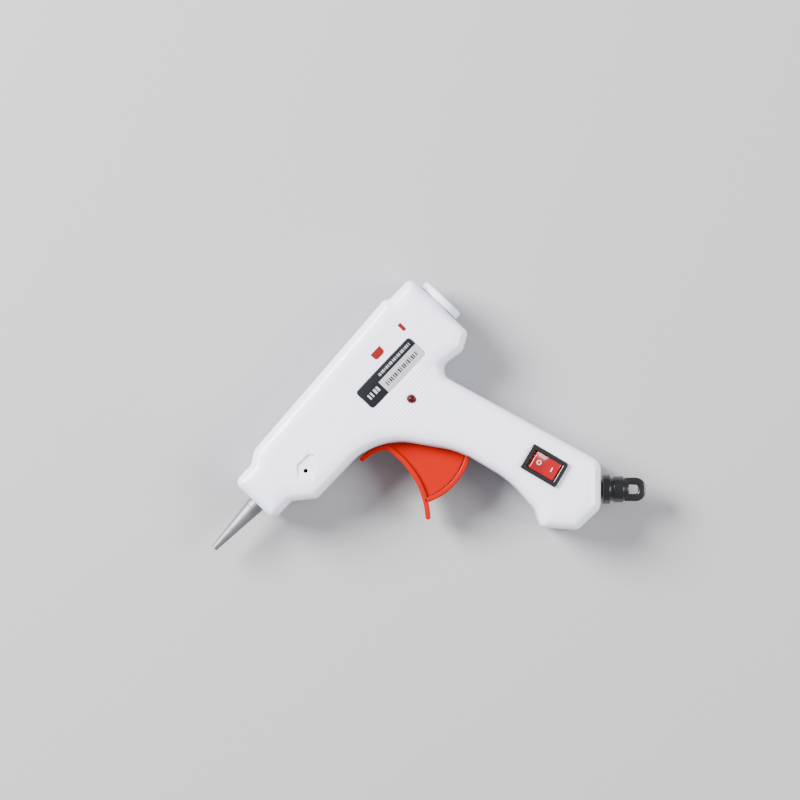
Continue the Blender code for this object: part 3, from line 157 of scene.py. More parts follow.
def insideDistance(points, loop):
    # distance from each point to the nearest side of a closed loop, positive inside it
    a = loop
    b = np.roll(loop, -1, axis=0)
    edge = b - a
    result = []
    for block in np.array_split(points, max(1, len(points) // 1500)):
        rel = block[:, None, :] - a[None]
        share = np.clip((rel * edge).sum(2) / np.maximum((edge**2).sum(1), 1e-12), 0, 1)
        near = np.sqrt((((rel - share[..., None] * edge) ** 2).sum(2)).min(1))
        above = a[None, :, 1] > block[:, None, 1]
        crossed = above != (b[None, :, 1] > block[:, None, 1])
        rise = np.where(edge[:, 1] == 0, 1e-12, edge[:, 1])
        where = a[:, 0] + (block[:, None, 1] - a[:, 1]) * edge[:, 0] / rise
        inside = (crossed & (block[:, None, 0] < where)).sum(1) % 2 == 1
        result.append(np.where(inside, near, -near))
    return np.concatenate(result)


def smoothStep(t):
    t = np.clip(t, 0, 1)
    return t * t * (3 - 2 * t)


def circleLoop(centre, radius, count=40):
    return np.array(centre) + radius * rays(np.linspace(0, 2 * np.pi, count, endpoint=False))


def turnedLoop(loop, centre, degrees):
    angle = math.radians(degrees)
    turn = np.array([[math.cos(angle), -math.sin(angle)], [math.sin(angle), math.cos(angle)]])
    return np.array(centre) + loop @ turn.T


def makeObject(name, points, faces, smooth=35.0, weld=1e-7):
    # points in metres; doubles merged, normals pointing out, edges sharper than the angle left crisp
    mesh = bpy.data.meshes.new(name)
    mesh.from_pydata(np.asarray(points, float).tolist(), [], [list(map(int, face)) for face in faces])
    mesh.validate()
    work = bmesh.new()
    work.from_mesh(mesh)
    bmesh.ops.remove_doubles(work, verts=work.verts, dist=weld)
    bmesh.ops.recalc_face_normals(work, faces=work.faces)
    work.to_mesh(mesh)
    work.free()
    mesh.shade_smooth()
    mesh.set_sharp_from_angle(angle=math.radians(smooth))
    obj = bpy.data.objects.new(name, mesh)
    bpy.context.scene.collection.objects.link(obj)
    return obj


def gridFaces(rows, columns, closed=True):
    # quads between neighbouring rows of a grid of points; the columns close into a loop unless told not to
    spans = np.arange(columns if closed else columns - 1)
    row, column = np.meshgrid(np.arange(rows - 1), spans, indexing="ij")
    right = (column + 1) % columns
    quad = np.stack([row * columns + column, row * columns + right,
                     (row + 1) * columns + right, (row + 1) * columns + column], axis=-1)
    return quad.reshape(-1, 4)


def ringStack(name, rings, smooth=35.0):
    # a stack of loops of equal length joined by quads, with flat caps at both ends
    count = len(rings[0])
    faces = [tuple(face) for face in gridFaces(len(rings), count)]
    faces.append(tuple(range(count - 1, -1, -1)))
    faces.append(tuple(range((len(rings) - 1) * count, len(rings) * count)))
    return makeObject(name, np.concatenate(rings) * mm, faces, smooth)


def placed(loop, height, matrix=None):
    # a flat loop lifted to a height, both in mm, then put where the matrix says
    points = np.column_stack([loop, np.full(len(loop), height)])
    if matrix is None:
        return points
    m = np.array(matrix)
    return points @ m[:3, :3].T + m[:3, 3]


def softPlate(name, corners, low, high, soft=0.3, matrix=None, spacing=0.4, outline=None):
    # an outline extruded between two heights with quarter-round edges:
    # inset = soft * (1 - sin t), height = end -/+ soft * (1 - cos t)
    t = np.linspace(0, np.pi / 2, 5) if soft > 0 else np.array([np.pi / 2])
    insets = np.concatenate([soft * (1 - np.sin(t)), soft * (1 - np.sin(t[::-1]))])
    heights = np.concatenate([low + soft * (1 - np.cos(t)), high - soft * (1 - np.cos(t[::-1]))])
    ringOf = outline or (lambda inset: outlineRing(corners, inset, spacing))
    return ringStack(name, [placed(ringOf(i), h, matrix) for i, h in zip(insets, heights)])


def softProfile(spots):
    # corners of a turned section, (along, radius, fillet), each rounded by its fillet
    data = [np.array(spot, float) for spot in spots]
    points = [data[0][:2]]
    for i in range(1, len(data) - 1):
        before = data[i - 1][:2] - data[i][:2]
        after = data[i + 1][:2] - data[i][:2]
        lengthBefore, lengthAfter = np.linalg.norm(before), np.linalg.norm(after)
        before, after = before / lengthBefore, after / lengthAfter
        bend = np.pi - np.arccos(np.clip((before * after).sum(), -1, 1))
        if data[i][2] <= 0 or bend < 1e-3:
            points.append(data[i][:2])
            continue
        reach = min(data[i][2] * np.tan(bend / 2), 0.49 * lengthBefore, 0.49 * lengthAfter)
        s = np.linspace(0, 1, 7)[:, None]
        a, b, c = data[i][:2] + before * reach, data[i][:2], data[i][:2] + after * reach
        points.extend(a * (1 - s) ** 2 + 2 * b * s * (1 - s) + c * s**2)
    points.append(data[-1][:2])
    return np.array(points)


barrelFrame = Matrix(((0, 0, 1, 0), (1, 0, 0, 0), (0, 1, 0, midZ / mm), (0, 0, 0, 1)))


def turned(name, spots, matrix=barrelFrame, segments=72, closed=False, ripple=None):
    # a section (along, radius) turned round the frame's Z axis: x = r cos a, y = r sin a, z = along
    profile = softProfile([*spots, spots[0]] if closed else spots)
    if closed:
        profile = profile[:-1]
    angle = np.linspace(0, 2 * np.pi, segments, endpoint=False)
    radius = profile[:, 1][:, None] * np.ones(segments)
    if ripple is not None:
        radius = ripple(profile[:, 0][:, None], angle[None], radius)
    grid = np.stack([radius * np.cos(angle), radius * np.sin(angle),
                     np.repeat(profile[:, 0][:, None], segments, axis=1)], axis=-1)
    m = np.array(matrix)
    points = grid.reshape(-1, 3) @ m[:3, :3].T + m[:3, 3]
    rows = len(profile)
    faces = [tuple(face) for face in gridFaces(rows, segments)]
    if closed:
        last = gridFaces(2, segments)
        last = np.where(last >= segments, last - segments, last + (rows - 1) * segments)
        faces += [tuple(face) for face in last]
    return makeObject(name, points * mm, faces, 32.0, weld=2e-7)


def strip(corners, offset, spacing=0.4):
    # an open path with rounded corners, moved sideways to its left; equal counts for every offset
    data = np.array(corners, float)
    spots, radii = data[:, :2], data[:, 2]
    along = spots[1:] - spots[:-1]
    along /= np.linalg.norm(along, axis=1)[:, None]
    normal = np.stack([-along[:, 1], along[:, 0]], axis=1)
    points = [spots[:1] + normal[0] * offset]
    for i in range(1, len(spots) - 1):
        before, onward = along[i - 1], along[i]
        turn = math.atan2(before[0] * onward[1] - before[1] * onward[0], before @ onward)
        side = 1 if turn > 0 else -1
        count = int(max(6, math.ceil(abs(turn) * radii[i] / spacing)))
        inward = (normal[i - 1] + normal[i]) / (1 + normal[i - 1] @ normal[i]) * side
        centre = spots[i] + inward * radii[i]
        first = math.atan2(-side * normal[i - 1][1], -side * normal[i - 1][0])
        angle = first + np.linspace(0, turn, count + 1)
        points.append(centre + (radii[i] - side * offset) * rays(angle))
    points.append(spots[-1:] + normal[-1] * offset)
    return np.concatenate(points)


def bandOutline(path, half):
    # both sides of a path at the half width, less the inset, joined by half circles of the same radius
    def ring(inset):
        reach = half - inset
        left = strip(path, reach)
        right = strip(path, -reach)[::-1]
        ends = []
        for start, end in ((left[-1], right[0]), (right[-1], left[0])):
            centre = (start + end) / 2
            first = np.arctan2(*(start - centre)[::-1])
            angle = first - np.linspace(0, np.pi, 11)[1:-1]
            ends.append(centre + np.linalg.norm(start - centre) * rays(angle))
        return np.concatenate([left, ends[0], right, ends[1]])
    return ring


def newGroup(name, values, outputs):
    # a shader group with a Vector input, number inputs with their defaults, and number outputs
    tree = bpy.data.node_groups.new(name, "ShaderNodeTree")
    tree.interface.new_socket(name="Vector", in_out="INPUT", socket_type="NodeSocketVector")
    for label, value in values.items():
        socket = tree.interface.new_socket(name=label, in_out="INPUT", socket_type="NodeSocketFloat")
        socket.default_value = value
    for label in outputs:
        tree.interface.new_socket(name=label, in_out="OUTPUT", socket_type="NodeSocketFloat")
    source, sink = tree.nodes.new("NodeGroupInput"), tree.nodes.new("NodeGroupOutput")
    return tree, source.outputs, sink.inputs, partial(mathNode, tree)


def mathNode(tree, operation, a, b=None, clamp=False):
    node = tree.nodes.new("ShaderNodeMath")
    node.operation = operation
    node.use_clamp = clamp
    for socket, value in zip(node.inputs, (a, b)):
        if isinstance(value, (int, float)):
            socket.default_value = value
        elif value is not None:
            tree.links.new(value, socket)
    return node.outputs[0]


def mixColour(tree, mask, a, b):
    node = tree.nodes.new("ShaderNodeMix")
    node.data_type = "RGBA"
    for socket, value in ((node.inputs[0], mask), (node.inputs[6], a), (node.inputs[7], b)):
        if isinstance(value, tuple):
            socket.default_value = (*value, 1.0)
        else:
            tree.links.new(value, socket)
    return node.outputs[2]


def noiseNode(tree, vector, scale, detail=3.0, roughness=0.55):
    node = tree.nodes.new("ShaderNodeTexNoise")
    node.inputs["Detail"].default_value = detail
    node.inputs["Roughness"].default_value = roughness
    tree.links.new(vector, node.inputs["Vector"])
    if isinstance(scale, float):
        node.inputs["Scale"].default_value = scale
    else:
        tree.links.new(scale, node.inputs["Scale"])
    return node.outputs["Fac"]


def splitNode(tree, vector):
    node = tree.nodes.new("ShaderNodeSeparateXYZ")
    tree.links.new(vector, node.inputs[0])
    return node.outputs


def buildMouldGrain():
    # height = fine grain of a moulded skin plus slow waviness, both from noise
    tree, source, sink, do = newGroup(
        "mouldGrain", {"Grain Scale": 2600.0, "Grain": 0.3, "Wave Scale": 60.0, "Wave": 1.0}, ["Height"])
    grain = noiseNode(tree, source["Vector"], source["Grain Scale"], 2.0)
    wave = noiseNode(tree, source["Vector"], source["Wave Scale"], 1.0)
    height = do("ADD", do("MULTIPLY", grain, source["Grain"]), do("MULTIPLY", wave, source["Wave"]))
    tree.links.new(height, sink["Height"])
    return tree


def buildHandling():
    # roughness = base + smudges from handling, and a mask of the faint grime that goes with them
    tree, source, sink, do = newGroup(
        "handling", {"Base": 0.35, "Spread": 0.12, "Scale": 90.0}, ["Roughness", "Mask"])
    cloud = noiseNode(tree, source["Vector"], source["Scale"], 5.0, 0.65)
    swing = do("MULTIPLY", do("SUBTRACT", cloud, 0.5), source["Spread"])
    tree.links.new(do("ADD", swing, source["Base"]), sink["Roughness"])
    tree.links.new(do("MULTIPLY", do("SUBTRACT", cloud, 0.52), 5.0, clamp=True), sink["Mask"])
    return tree


boxSides = {"Low X": 0.0, "High X": 1.0, "Low Y": 0.0, "High Y": 1.0}


def buildBoxMask():
    # 1 inside a box in X and Y with soft edges, from the products of four clamped ramps
    tree, source, sink, do = newGroup("boxMask", {**boxSides, "Soft": 0.0001}, ["Mask"])
    x, y, _ = splitNode(tree, source["Vector"])
    total = 1.0
    for a, b in ((x, source["Low X"]), (source["High X"], x), (y, source["Low Y"]), (source["High Y"], y)):
        total = do("MULTIPLY", total, do("DIVIDE", do("SUBTRACT", a, b), source["Soft"], clamp=True))
    tree.links.new(total, sink["Mask"])
    return tree


def buildPatchMask():
    # a box whose two low corners are round: with q = how far a point lies past the box shrunk by the radius,
    # in x on both sides and in y below, the mask falls where |q| passes the radius
    tree, source, sink, do = newGroup("patchMask", {**boxSides, "Radius": 0.001}, ["Mask"])
    x, y, _ = splitNode(tree, source["Vector"])
    radius, sharp = source["Radius"], 12000.0
    pastLow = do("SUBTRACT", do("ADD", source["Low X"], radius), x)
    pastHigh = do("ADD", do("SUBTRACT", x, source["High X"]), radius)
    qx = do("MAXIMUM", do("MAXIMUM", pastLow, pastHigh), 0.0)
    qy = do("MAXIMUM", do("SUBTRACT", do("ADD", source["Low Y"], radius), y), 0.0)
    reach = do("SQRT", do("ADD", do("MULTIPLY", qx, qx), do("MULTIPLY", qy, qy)))
    inside = do("MULTIPLY", do("SUBTRACT", radius, reach), sharp, clamp=True)
    under = do("MULTIPLY", do("SUBTRACT", source["High Y"], y), sharp, clamp=True)
    tree.links.new(do("MULTIPLY", inside, under), sink["Mask"])
    return tree


def buildPrintRow():
    # a row of plain dashes of mixed length inside a box: 1 where sin(x) + 0.6 sin(0.42 x) is above -0.1
    tree, source, sink, do = newGroup("printRow", {**boxSides, "Pitch": 0.001}, ["Mask"])
    box = tree.nodes.new("ShaderNodeGroup")
    box.node_tree = groups["box"]
    for name in ("Vector", *boxSides):
        tree.links.new(source[name], box.inputs[name])
    box.inputs["Soft"].default_value = 0.00008
    phase = do("MULTIPLY", do("DIVIDE", splitNode(tree, source["Vector"])[0], source["Pitch"]), 2 * math.pi)
    slow = do("MULTIPLY", do("SINE", do("MULTIPLY", phase, 0.42)), 0.6)
    wave = do("ADD", do("ADD", do("SINE", phase), slow), 0.1)
    dashes = do("MULTIPLY", wave, 6.0, clamp=True)
    tree.links.new(do("MULTIPLY", dashes, box.outputs["Mask"]), sink["Mask"])
    return tree


def buildTurningMarks():
    # fine rings across the X axis: a wave of x with its phase moved a little by noise
    tree, source, sink, do = newGroup("turningMarks", {"Pitch": 0.00022, "Wander": 2.0}, ["Height"])
    phase = do("DIVIDE", splitNode(tree, source["Vector"])[0], source["Pitch"])
    wander = do("MULTIPLY", noiseNode(tree, source["Vector"], 900.0, 2.0), source["Wander"])
    tree.links.new(do("SINE", do("ADD", do("MULTIPLY", phase, 2 * math.pi), wander)), sink["Height"])
    return tree


groups = {"grain": buildMouldGrain(), "handling": buildHandling(), "box": buildBoxMask(),
          "patch": buildPatchMask(), "turning": buildTurningMarks()}
groups["row"] = buildPrintRow()


def useGroup(tree, key, vector, **values):
    node = tree.nodes.new("ShaderNodeGroup")
    node.node_tree = groups[key]
    tree.links.new(vector, node.inputs["Vector"])
    for label, value in values.items():
        node.inputs[label.replace("_", " ")].default_value = value
    return node.outputs


def newMaterial(name, colour, roughness, metallic=0.0, **shader):
    material = bpy.data.materials.new(name)
    material.use_nodes = True
    tree = material.node_tree
    surface = tree.nodes["Principled BSDF"].inputs
    surface["Base Color"].default_value = (*colour, 1.0)
    surface["Roughness"].default_value = roughness
    surface["Metallic"].default_value = metallic
    for label, value in shader.items():
        surface[label.replace("_", " ")].default_value = value
    return material, tree, surface, tree.nodes.new("ShaderNodeTexCoord").outputs["Object"]


def bumpFrom(tree, surface, height, strength, distance):
    bump = tree.nodes.new("ShaderNodeBump")
    bump.inputs["Strength"].default_value = strength
    bump.inputs["Distance"].default_value = distance
    tree.links.new(height, bump.inputs["Height"])
    tree.links.new(bump.outputs["Normal"], surface["Normal"])


def plastic(name, colour, worn, base, spread, grain=0.3, wave=1.0, strength=0.12, distance=0.00012,
            patches=(), ink=None, **shader):
    # moulded plastic: handling smudges in the roughness, a faint tint where they lie, grain in the bump;
    # printed patches lie on the left side only
    material, tree, surface, where = newMaterial(name, colour, base, **shader)
    touch = useGroup(tree, "handling", where, Base=base, Spread=spread, Scale=90.0)
    tree.links.new(touch["Roughness"], surface["Roughness"])
    paint = mixColour(tree, mathNode(tree, "MULTIPLY", touch["Mask"], 0.35), colour, worn)
    if patches:
        onLeft = mathNode(tree, "GREATER_THAN", splitNode(tree, where)[2], midZ + faceHalf * 0.9)
    for lowX, highX, lowY, highY, radius in patches:
        patch = useGroup(tree, "patch", where, Low_X=lowX, High_X=highX, Low_Y=lowY, High_Y=highY,
                         Radius=radius)
        paint = mixColour(tree, mathNode(tree, "MULTIPLY", patch["Mask"], onLeft), paint, ink)
    tree.links.new(paint, surface["Base Color"])
    skin = useGroup(tree, "grain", where, Grain=grain, Wave=wave)
    bumpFrom(tree, surface, skin["Height"], strength, distance)
    return material


def metal(name, colour, dark, base, spread, strength=0.10, pitch=None):
    # bare metal: cloudy roughness and tarnish, with turning marks where a pitch is given
    material, tree, surface, where = newMaterial(name, colour, base, 1.0)
    touch = useGroup(tree, "handling", where, Base=base, Spread=spread, Scale=260.0)
    tree.links.new(touch["Roughness"], surface["Roughness"])
    tint = mathNode(tree, "MULTIPLY", touch["Mask"], 0.6)
    tree.links.new(mixColour(tree, tint, colour, dark), surface["Base Color"])
    if pitch:
        marks = useGroup(tree, "turning", where, Pitch=pitch)
        bumpFrom(tree, surface, marks["Height"], strength, 0.00003)
    else:
        skin = useGroup(tree, "grain", where, Grain=0.6, Wave=0.3)
        bumpFrom(tree, surface, skin["Height"], strength, 0.0001)
    return material


labelPrint = {
    "black": (0.004, 0.004, 0.006), "silver": (0.42, 0.42, 0.46), "worn": (0.38, 0.38, 0.42),
    "pale": (0.40, 0.40, 0.43),
    "block": 0.304, "band": 0.60,   # shares of the film's length and height where the dark starts and ends
    # rows of plain dashes in shares of the film: low x, high x, low y, high y, pitch in metres, dark or pale
    "rows": [(0.07, 0.26, 0.32, 0.56, 0.00155, "pale"), (0.37, 0.94, 0.73, 0.86, 0.00085, "pale"),
             (0.36, 0.93, 0.20, 0.41, 0.00095, "black")],
}


def buildLabelPrint(low, high):
    # a dark block at the nose end and a dark strip along the top, on a silver film
    ink = labelPrint
    material, tree, surface, where = newMaterial("labelFilm", ink["silver"], 0.3, Coat_Weight=0.1)
    width, height = high.x - low.x, high.y - low.y
    block = useGroup(tree, "box", where, Low_X=low.x - 1, High_X=low.x + width * ink["block"],
                     Low_Y=-1.0, High_Y=1.0, Soft=0.00008)
    band = useGroup(tree, "box", where, Low_X=-1.0, High_X=1.0,
                    Low_Y=low.y + height * ink["band"], High_Y=1.0, Soft=0.00008)
    mask = mathNode(tree, "MAXIMUM", block["Mask"], band["Mask"])
    touch = useGroup(tree, "handling", where, Base=0.28, Spread=0.15, Scale=200.0)
    tree.links.new(touch["Roughness"], surface["Roughness"])
    paint = mixColour(tree, mask, mixColour(tree, touch["Mask"], ink["silver"], ink["worn"]), ink["black"])
    for lowX, highX, lowY, highY, pitch, tone in ink["rows"]:
        row = useGroup(tree, "row", where, Low_X=low.x + width * lowX, High_X=low.x + width * highX,
                       Low_Y=low.y + height * lowY, High_Y=low.y + height * highY, Pitch=pitch)
        paint = mixColour(tree, row["Mask"], paint, ink[tone])
    tree.links.new(paint, surface["Base Color"])
    foil = mathNode(tree, "MULTIPLY", mathNode(tree, "SUBTRACT", 1.0, mask), 0.15)
    tree.links.new(foil, surface["Metallic"])
    skin = useGroup(tree, "grain", where, Grain=0.4, Wave=0.6)
    bumpFrom(tree, surface, skin["Height"], 0.08, 0.0001)
    return material


# colour, worn colour, roughness and spread; patches are low x, high x, low y, high y, corner radius in metres
plastics = {
    "white": dict(name="whiteMoulding", colour=(0.81, 0.81, 0.94), worn=(0.77, 0.77, 0.89),
                  base=0.27, spread=0.12,
                  grain=0.25, wave=1.6, strength=0.16, distance=0.00010, ink=(0.17, 0.003, 0.003),
                  patches=[(0.0197, 0.0246, 0.0040, 0.0072, 0.0013), (0.0344, 0.0360, 0.0040, 0.0075, 0.0007)],
                  IOR=1.5, Coat_Weight=0.2, Coat_Roughness=0.1),
    "orange": dict(name="orangeMoulding", colour=(0.33, 0.004, 0.0), worn=(0.29, 0.003, 0.0), base=0.34,
                   spread=0.14, Specular_IOR_Level=0.10),
    "ceramic": dict(name="firedCeramic", colour=(0.23, 0.22, 0.21), worn=(0.16, 0.15, 0.15), base=0.75,
                    spread=0.1, grain=0.9),
    "silicone": dict(name="siliconeTube", colour=(0.50, 0.08, 0.06), worn=(0.42, 0.07, 0.05), base=0.55,
                     spread=0.1, grain=0.2),
    "nylon": dict(name="naturalNylon", colour=(0.74, 0.71, 0.62), worn=(0.62, 0.58, 0.48), base=0.48,
                  spread=0.12, grain=0.5),
    "collar": dict(name="collarMoulding", colour=(0.80, 0.80, 0.92), worn=(0.74, 0.74, 0.84),
                   base=0.34, spread=0.12),
    "black": dict(name="blackMoulding", colour=(0.008, 0.008, 0.009), worn=(0.014, 0.014, 0.014), base=0.20,
                  spread=0.12, Coat_Weight=0.4, Coat_Roughness=0.08),
    "gland": dict(name="glandMoulding", colour=(0.004, 0.004, 0.005), worn=(0.009, 0.009, 0.009), base=0.24,
                  spread=0.14, Coat_Weight=0.3, Coat_Roughness=0.12),
    "rocker": dict(name="rockerRed", colour=(0.28, 0.001, 0.004), worn=(0.23, 0.001, 0.004), base=0.14,
                   spread=0.06, grain=0.1, Coat_Weight=0.3, Coat_Roughness=0.04),
    "lamp": dict(name="lampLens", colour=(0.055, 0.0004, 0.003), worn=(0.045, 0.0004, 0.002), base=0.30,
                 spread=0.04, grain=0.05, Specular_IOR_Level=0.15),
    "mark": dict(name="markWhite", colour=(0.84, 0.84, 0.84), worn=(0.74, 0.72, 0.70), base=0.40, spread=0.1),
    "brown": dict(name="leadBrown", colour=(0.16, 0.06, 0.03), worn=(0.10, 0.04, 0.02), base=0.5, spread=0.1),
    "blue": dict(name="leadBlue", colour=(0.03, 0.10, 0.40), worn=(0.02, 0.07, 0.28), base=0.5, spread=0.1),
    "resistor": dict(name="resistorBody", colour=(0.60, 0.48, 0.32), worn=(0.50, 0.38, 0.24),
                     base=0.5, spread=0.1),
}
metals = {
    "nozzle": dict(name="turnedNozzle", colour=(0.24, 0.24, 0.255), dark=(0.15, 0.15, 0.16), base=0.56,
                   spread=0.14, pitch=0.00026, strength=0.2),
    "cast": dict(name="castMetal", colour=(0.60, 0.60, 0.62), dark=(0.42, 0.41, 0.40), base=0.52, spread=0.2,
                 strength=0.3),
    "spring": dict(name="springWire", colour=(0.50, 0.50, 0.52), dark=(0.30, 0.28, 0.26),
                   base=0.30, spread=0.15),
    "contact": dict(name="contactSheet", colour=(0.72, 0.69, 0.62), dark=(0.52, 0.46, 0.36),
                    base=0.34, spread=0.15),
}
finishes = {key: plastic(**values) for key, values in plastics.items()}
finishes |= {key: metal(**values) for key, values in metals.items()}
finishes["label"] = buildLabelPrint(*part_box("rating_label"))


def middleOf(name):
    # the middle of a node's box in X and Y, in mm
    low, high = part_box(name)
    return np.array([(low.x + high.x) / 2 / mm, (low.y + high.y) / 2 / mm])


def finishPiece(obj, finish, body, replaced=()):
    obj.data.materials.clear()
    obj.data.materials.append(finishes[finish])
    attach(obj, body)
    if replaced:
        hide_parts(*replaced)
    return obj


print("finishes ready")


features = {
    # the slanted pocket of the wire stand, in its own axes round the hole: x, y, corner radius
    "pocket": [(-4.2, -2.9, 1.0), (3.9, -4.0, 1.2), (6.2, -3.2, 0.8), (6.2, -0.7, 0.8), (2.1, 3.5, 1.0),
               (-4.2, 3.0, 1.0)],
    "standHole": (-27.4, -4.9), "standRadius": 0.8, "pocketTurn": 43.5, "pocketDepth": 0.8,
    "fadeStart": -4.4, "fadeRun": 4.6,   # where the pocket's floor leaves the side, and how soon it is deep
    "switchHalf": (6.75, 4.25), "switchTurn": -77, "lampRadius": 1.62, "screwRadius": 2.3,
    "labelRound": 1.2, "labelClear": 0.22, "labelDepth": 0.33,
}


def rectangle(low, high, radius):
    (left, bottom), (right, top) = low, high
    return [(left, bottom, radius), (right, bottom, radius), (right, top, radius), (left, top, radius)]


def labelCorners(radius):
    low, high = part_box("rating_label")
    return rectangle((low.x / mm, low.y / mm), (high.x / mm, high.y / mm), radius)


def shellFeatures(side):
    # holes go right through; sunk shapes are (loop, depth, edge width, fade)
    f = features
    pocket = turnedLoop(outlineRing(f["pocket"], 0, 0.35), f["standHole"], f["pocketTurn"])
    holes = [circleLoop(f["standHole"], f["standRadius"], 28)]
    sunk = [(pocket, f["pocketDepth"], 0.30, True)]
    if side > 0:
        x, y = f["switchHalf"]
        opening = outlineRing(rectangle((-x, -y), (x, y), 0.4), 0, 0.8)
        holes.append(turnedLoop(opening, gripPoint(handle["switchDown"], 0.0), f["switchTurn"]))
        holes.append(circleLoop(middleOf("indicator_led"), f["lampRadius"], 36))
        recess = outlineRing(labelCorners(f["labelRound"]), -f["labelClear"], 0.6)
        sunk.append((recess, f["labelDepth"], 0.10, False))
    else:
        for index in range(1, 7):
            holes.append(circleLoop(middleOf(f"housing_screw_{index}"), f["screwRadius"], 40))
    return holes, sunk


openings = {
    "nozzle": 3.45, "collar": 7.65, "gland": 3.85,   # radii of the holes that both shells share
    "near": 0.8,   # how close to such a hole's wall the outline is cut
    # the trigger's slot: half width, front edge, reach from the pivot, and softness of its ends
    "slotHalf": 6.6, "slotFront": -8.9, "slotReach": 37.2, "slotSoft": 0.7,
}


def partingHeight(ring):
    # how far over the mid-plane the wall starts: at the joint, or higher round the nozzle, the collar,
    # the gland and the slot that the trigger swings through
    o = openings
    x, y = ring[:, 0], ring[:, 1]

    def arch(radius, offset, distance):
        # a half circle: sqrt(r^2 - offset^2)
        return np.sqrt(np.maximum(radius**2 - offset**2, 0)) * (np.abs(distance) < o["near"])
    middle, along = handleEnd()
    across = (ring - middle) @ along
    off = (ring - middle) @ np.array([-along[1], along[0]])
    away = np.linalg.norm(ring - pivot / mm, axis=1)
    front = smoothStep((x - o["slotFront"]) / o["slotSoft"])
    front = front * smoothStep((o["slotReach"] - away) / o["slotSoft"])
    rootX, rootY = handle["root"]
    back = (x - rootX) * math.cos(handle["lean"]) + (y - rootY) * math.sin(handle["lean"])
    return np.maximum.reduce([
        np.full(len(ring), partGap / mm), arch(o["nozzle"], y, x - noseX / mm),
        arch(o["collar"], y - middleOf("inlet_collar")[1], x - rearX / mm), arch(o["gland"], across, off),
        o["slotHalf"] * front * (y < -12) * (back < 2)])


def sideDrop(inside):
    # how far the flat side lies under its top, from the distance inside the ridge
    return housing["ridgeDrop"] * (1 - np.clip(inside / housing["shoulder"], 0, 1)) ** 2


def buildShell(name, side, cadNode):
    # wall: inset and height of each row of the rolled edge, carried round the outline;
    # side: flat face lowered by drop * (1 - u)^2 over the shoulder, u = distance inside the ridge / its width
    h = housing

    def ringAt(inset, height):
        return placed(outlineRing(h["corners"], inset, h["spacing"]), height)
    low = partingHeight(outlineRing(h["corners"], 0.0, h["spacing"]))
    top = faceHalf / mm
    roll = np.linspace(0, h["roll"], 9)[1:]
    rollInset = h["draft"] + (h["ridgeInset"] - h["draft"]) * (1 - np.cos(roll)) / (1 - math.cos(h["roll"]))
    rollRise = (top - h["ridgeDrop"] - h["roundStart"]) * np.sin(roll) / math.sin(h["roll"])
    rings = [ringAt(h["lipInset"], low)]
    for share in np.linspace(0, 1, 9):
        rings.append(ringAt(h["draft"] * share, low + h["lip"] + (h["roundStart"] - low - h["lip"]) * share))
    rings += [ringAt(inset, h["roundStart"] + rise) for inset, rise in zip(rollInset, rollRise)]
    wallPoints = np.concatenate(rings)
    faces = [tuple(face) for face in gridFaces(len(rings), len(low))]

    ridge = outlineRing(h["corners"], h["ridgeInset"], h["spacing"])
    holes, sunk = shellFeatures(side)
    loops = [ridge, *holes]
    for loop, depth, edge, fade in sunk:
        middle = loop.mean(axis=0)
        size = np.linalg.norm(loop - middle, axis=1)[:, None]
        loops += [loop, loop - (loop - middle) / size * edge * 1.3]
    step = h["lattice"]
    lo, hi = ridge.min(0), ridge.max(0)
    xs, ys = np.meshgrid(np.arange(lo[0], hi[0], step), np.arange(lo[1], hi[1], step))
    xs = xs + (np.arange(xs.shape[0])[:, None] % 2) * step / 2
    lattice = np.stack([xs.ravel(), ys.ravel()], axis=1)
    keep = insideDistance(lattice, ridge) > step * 0.55
    for loop in loops[1:]:
        keep &= np.abs(insideDistance(lattice, loop)) > 0.22
    for hole in holes:
        keep &= insideDistance(lattice, hole) < 0
    flat = np.concatenate([*loops, lattice[keep]])
    edges, start = [], 0
    for loop in loops:
        index = np.arange(len(loop)) + start
        edges += list(zip(index.tolist(), np.roll(index, -1).tolist()))
        start += len(loop)
    spots, _, triangles, _, _, _ = geometry.delaunay_2d_cdt([Vector(p) for p in flat], edges, [], 0, 1e-5)
    spots = np.array([tuple(p) for p in spots])
    triangles = np.array([tuple(t) for t in triangles])
    centre = spots[triangles].mean(axis=1)
    inside = insideDistance(centre, ridge) > 2e-4   # slivers along the straight stretches go too
    for hole in holes:
        inside &= insideDistance(centre, hole) < 0
    triangles = triangles[inside]
    distance = np.maximum(insideDistance(spots, ridge), 0)
    height = top - sideDrop(distance)
    for loop, depth, edge, fade in sunk:
        amount = depth * np.clip(insideDistance(spots, loop) / edge, 0, 1)
        if fade:
            angle = math.radians(features["pocketTurn"])
            along = (spots - np.array(features["standHole"])) @ np.array([math.cos(angle), math.sin(angle)])
            amount = amount * smoothStep((along - features["fadeStart"]) / features["fadeRun"])
        height = height - amount
    points = np.concatenate([wallPoints, np.column_stack([spots, height])])
    faces += [tuple(face) for face in triangles + len(wallPoints)]
    points[:, 2] = midZ / mm + side * points[:, 2]
    shell = makeObject(name, points * mm, faces, 40.0, weld=4e-6)
    if (sum(p.normal.z * p.area for p in shell.data.polygons) > 0) != (side > 0):
        shell.data.flip_normals()
    thick = shell.modifiers.new("wall", "SOLIDIFY")
    thick.thickness = h["wall"] * mm
    thick.offset = -1
    finishPiece(shell, "white", "housing", (cadNode,))


buildShell("leftShell", 1, "left_shell")
buildShell("rightShell", -1, "right_shell")

ribPanel = {
    "low": (4.8, -20.8), "high": (33.0, -7.6),   # corners of the finely ribbed panel round the lamp, mm
    "pitch": 1.15, "crest": 0.10, "sunk": 0.04,   # spacing, height over the side and depth of its valleys
    "cells": (72, 110), "soft": 1.4, "lampClear": 2.0, "sheet": 0.3,
}


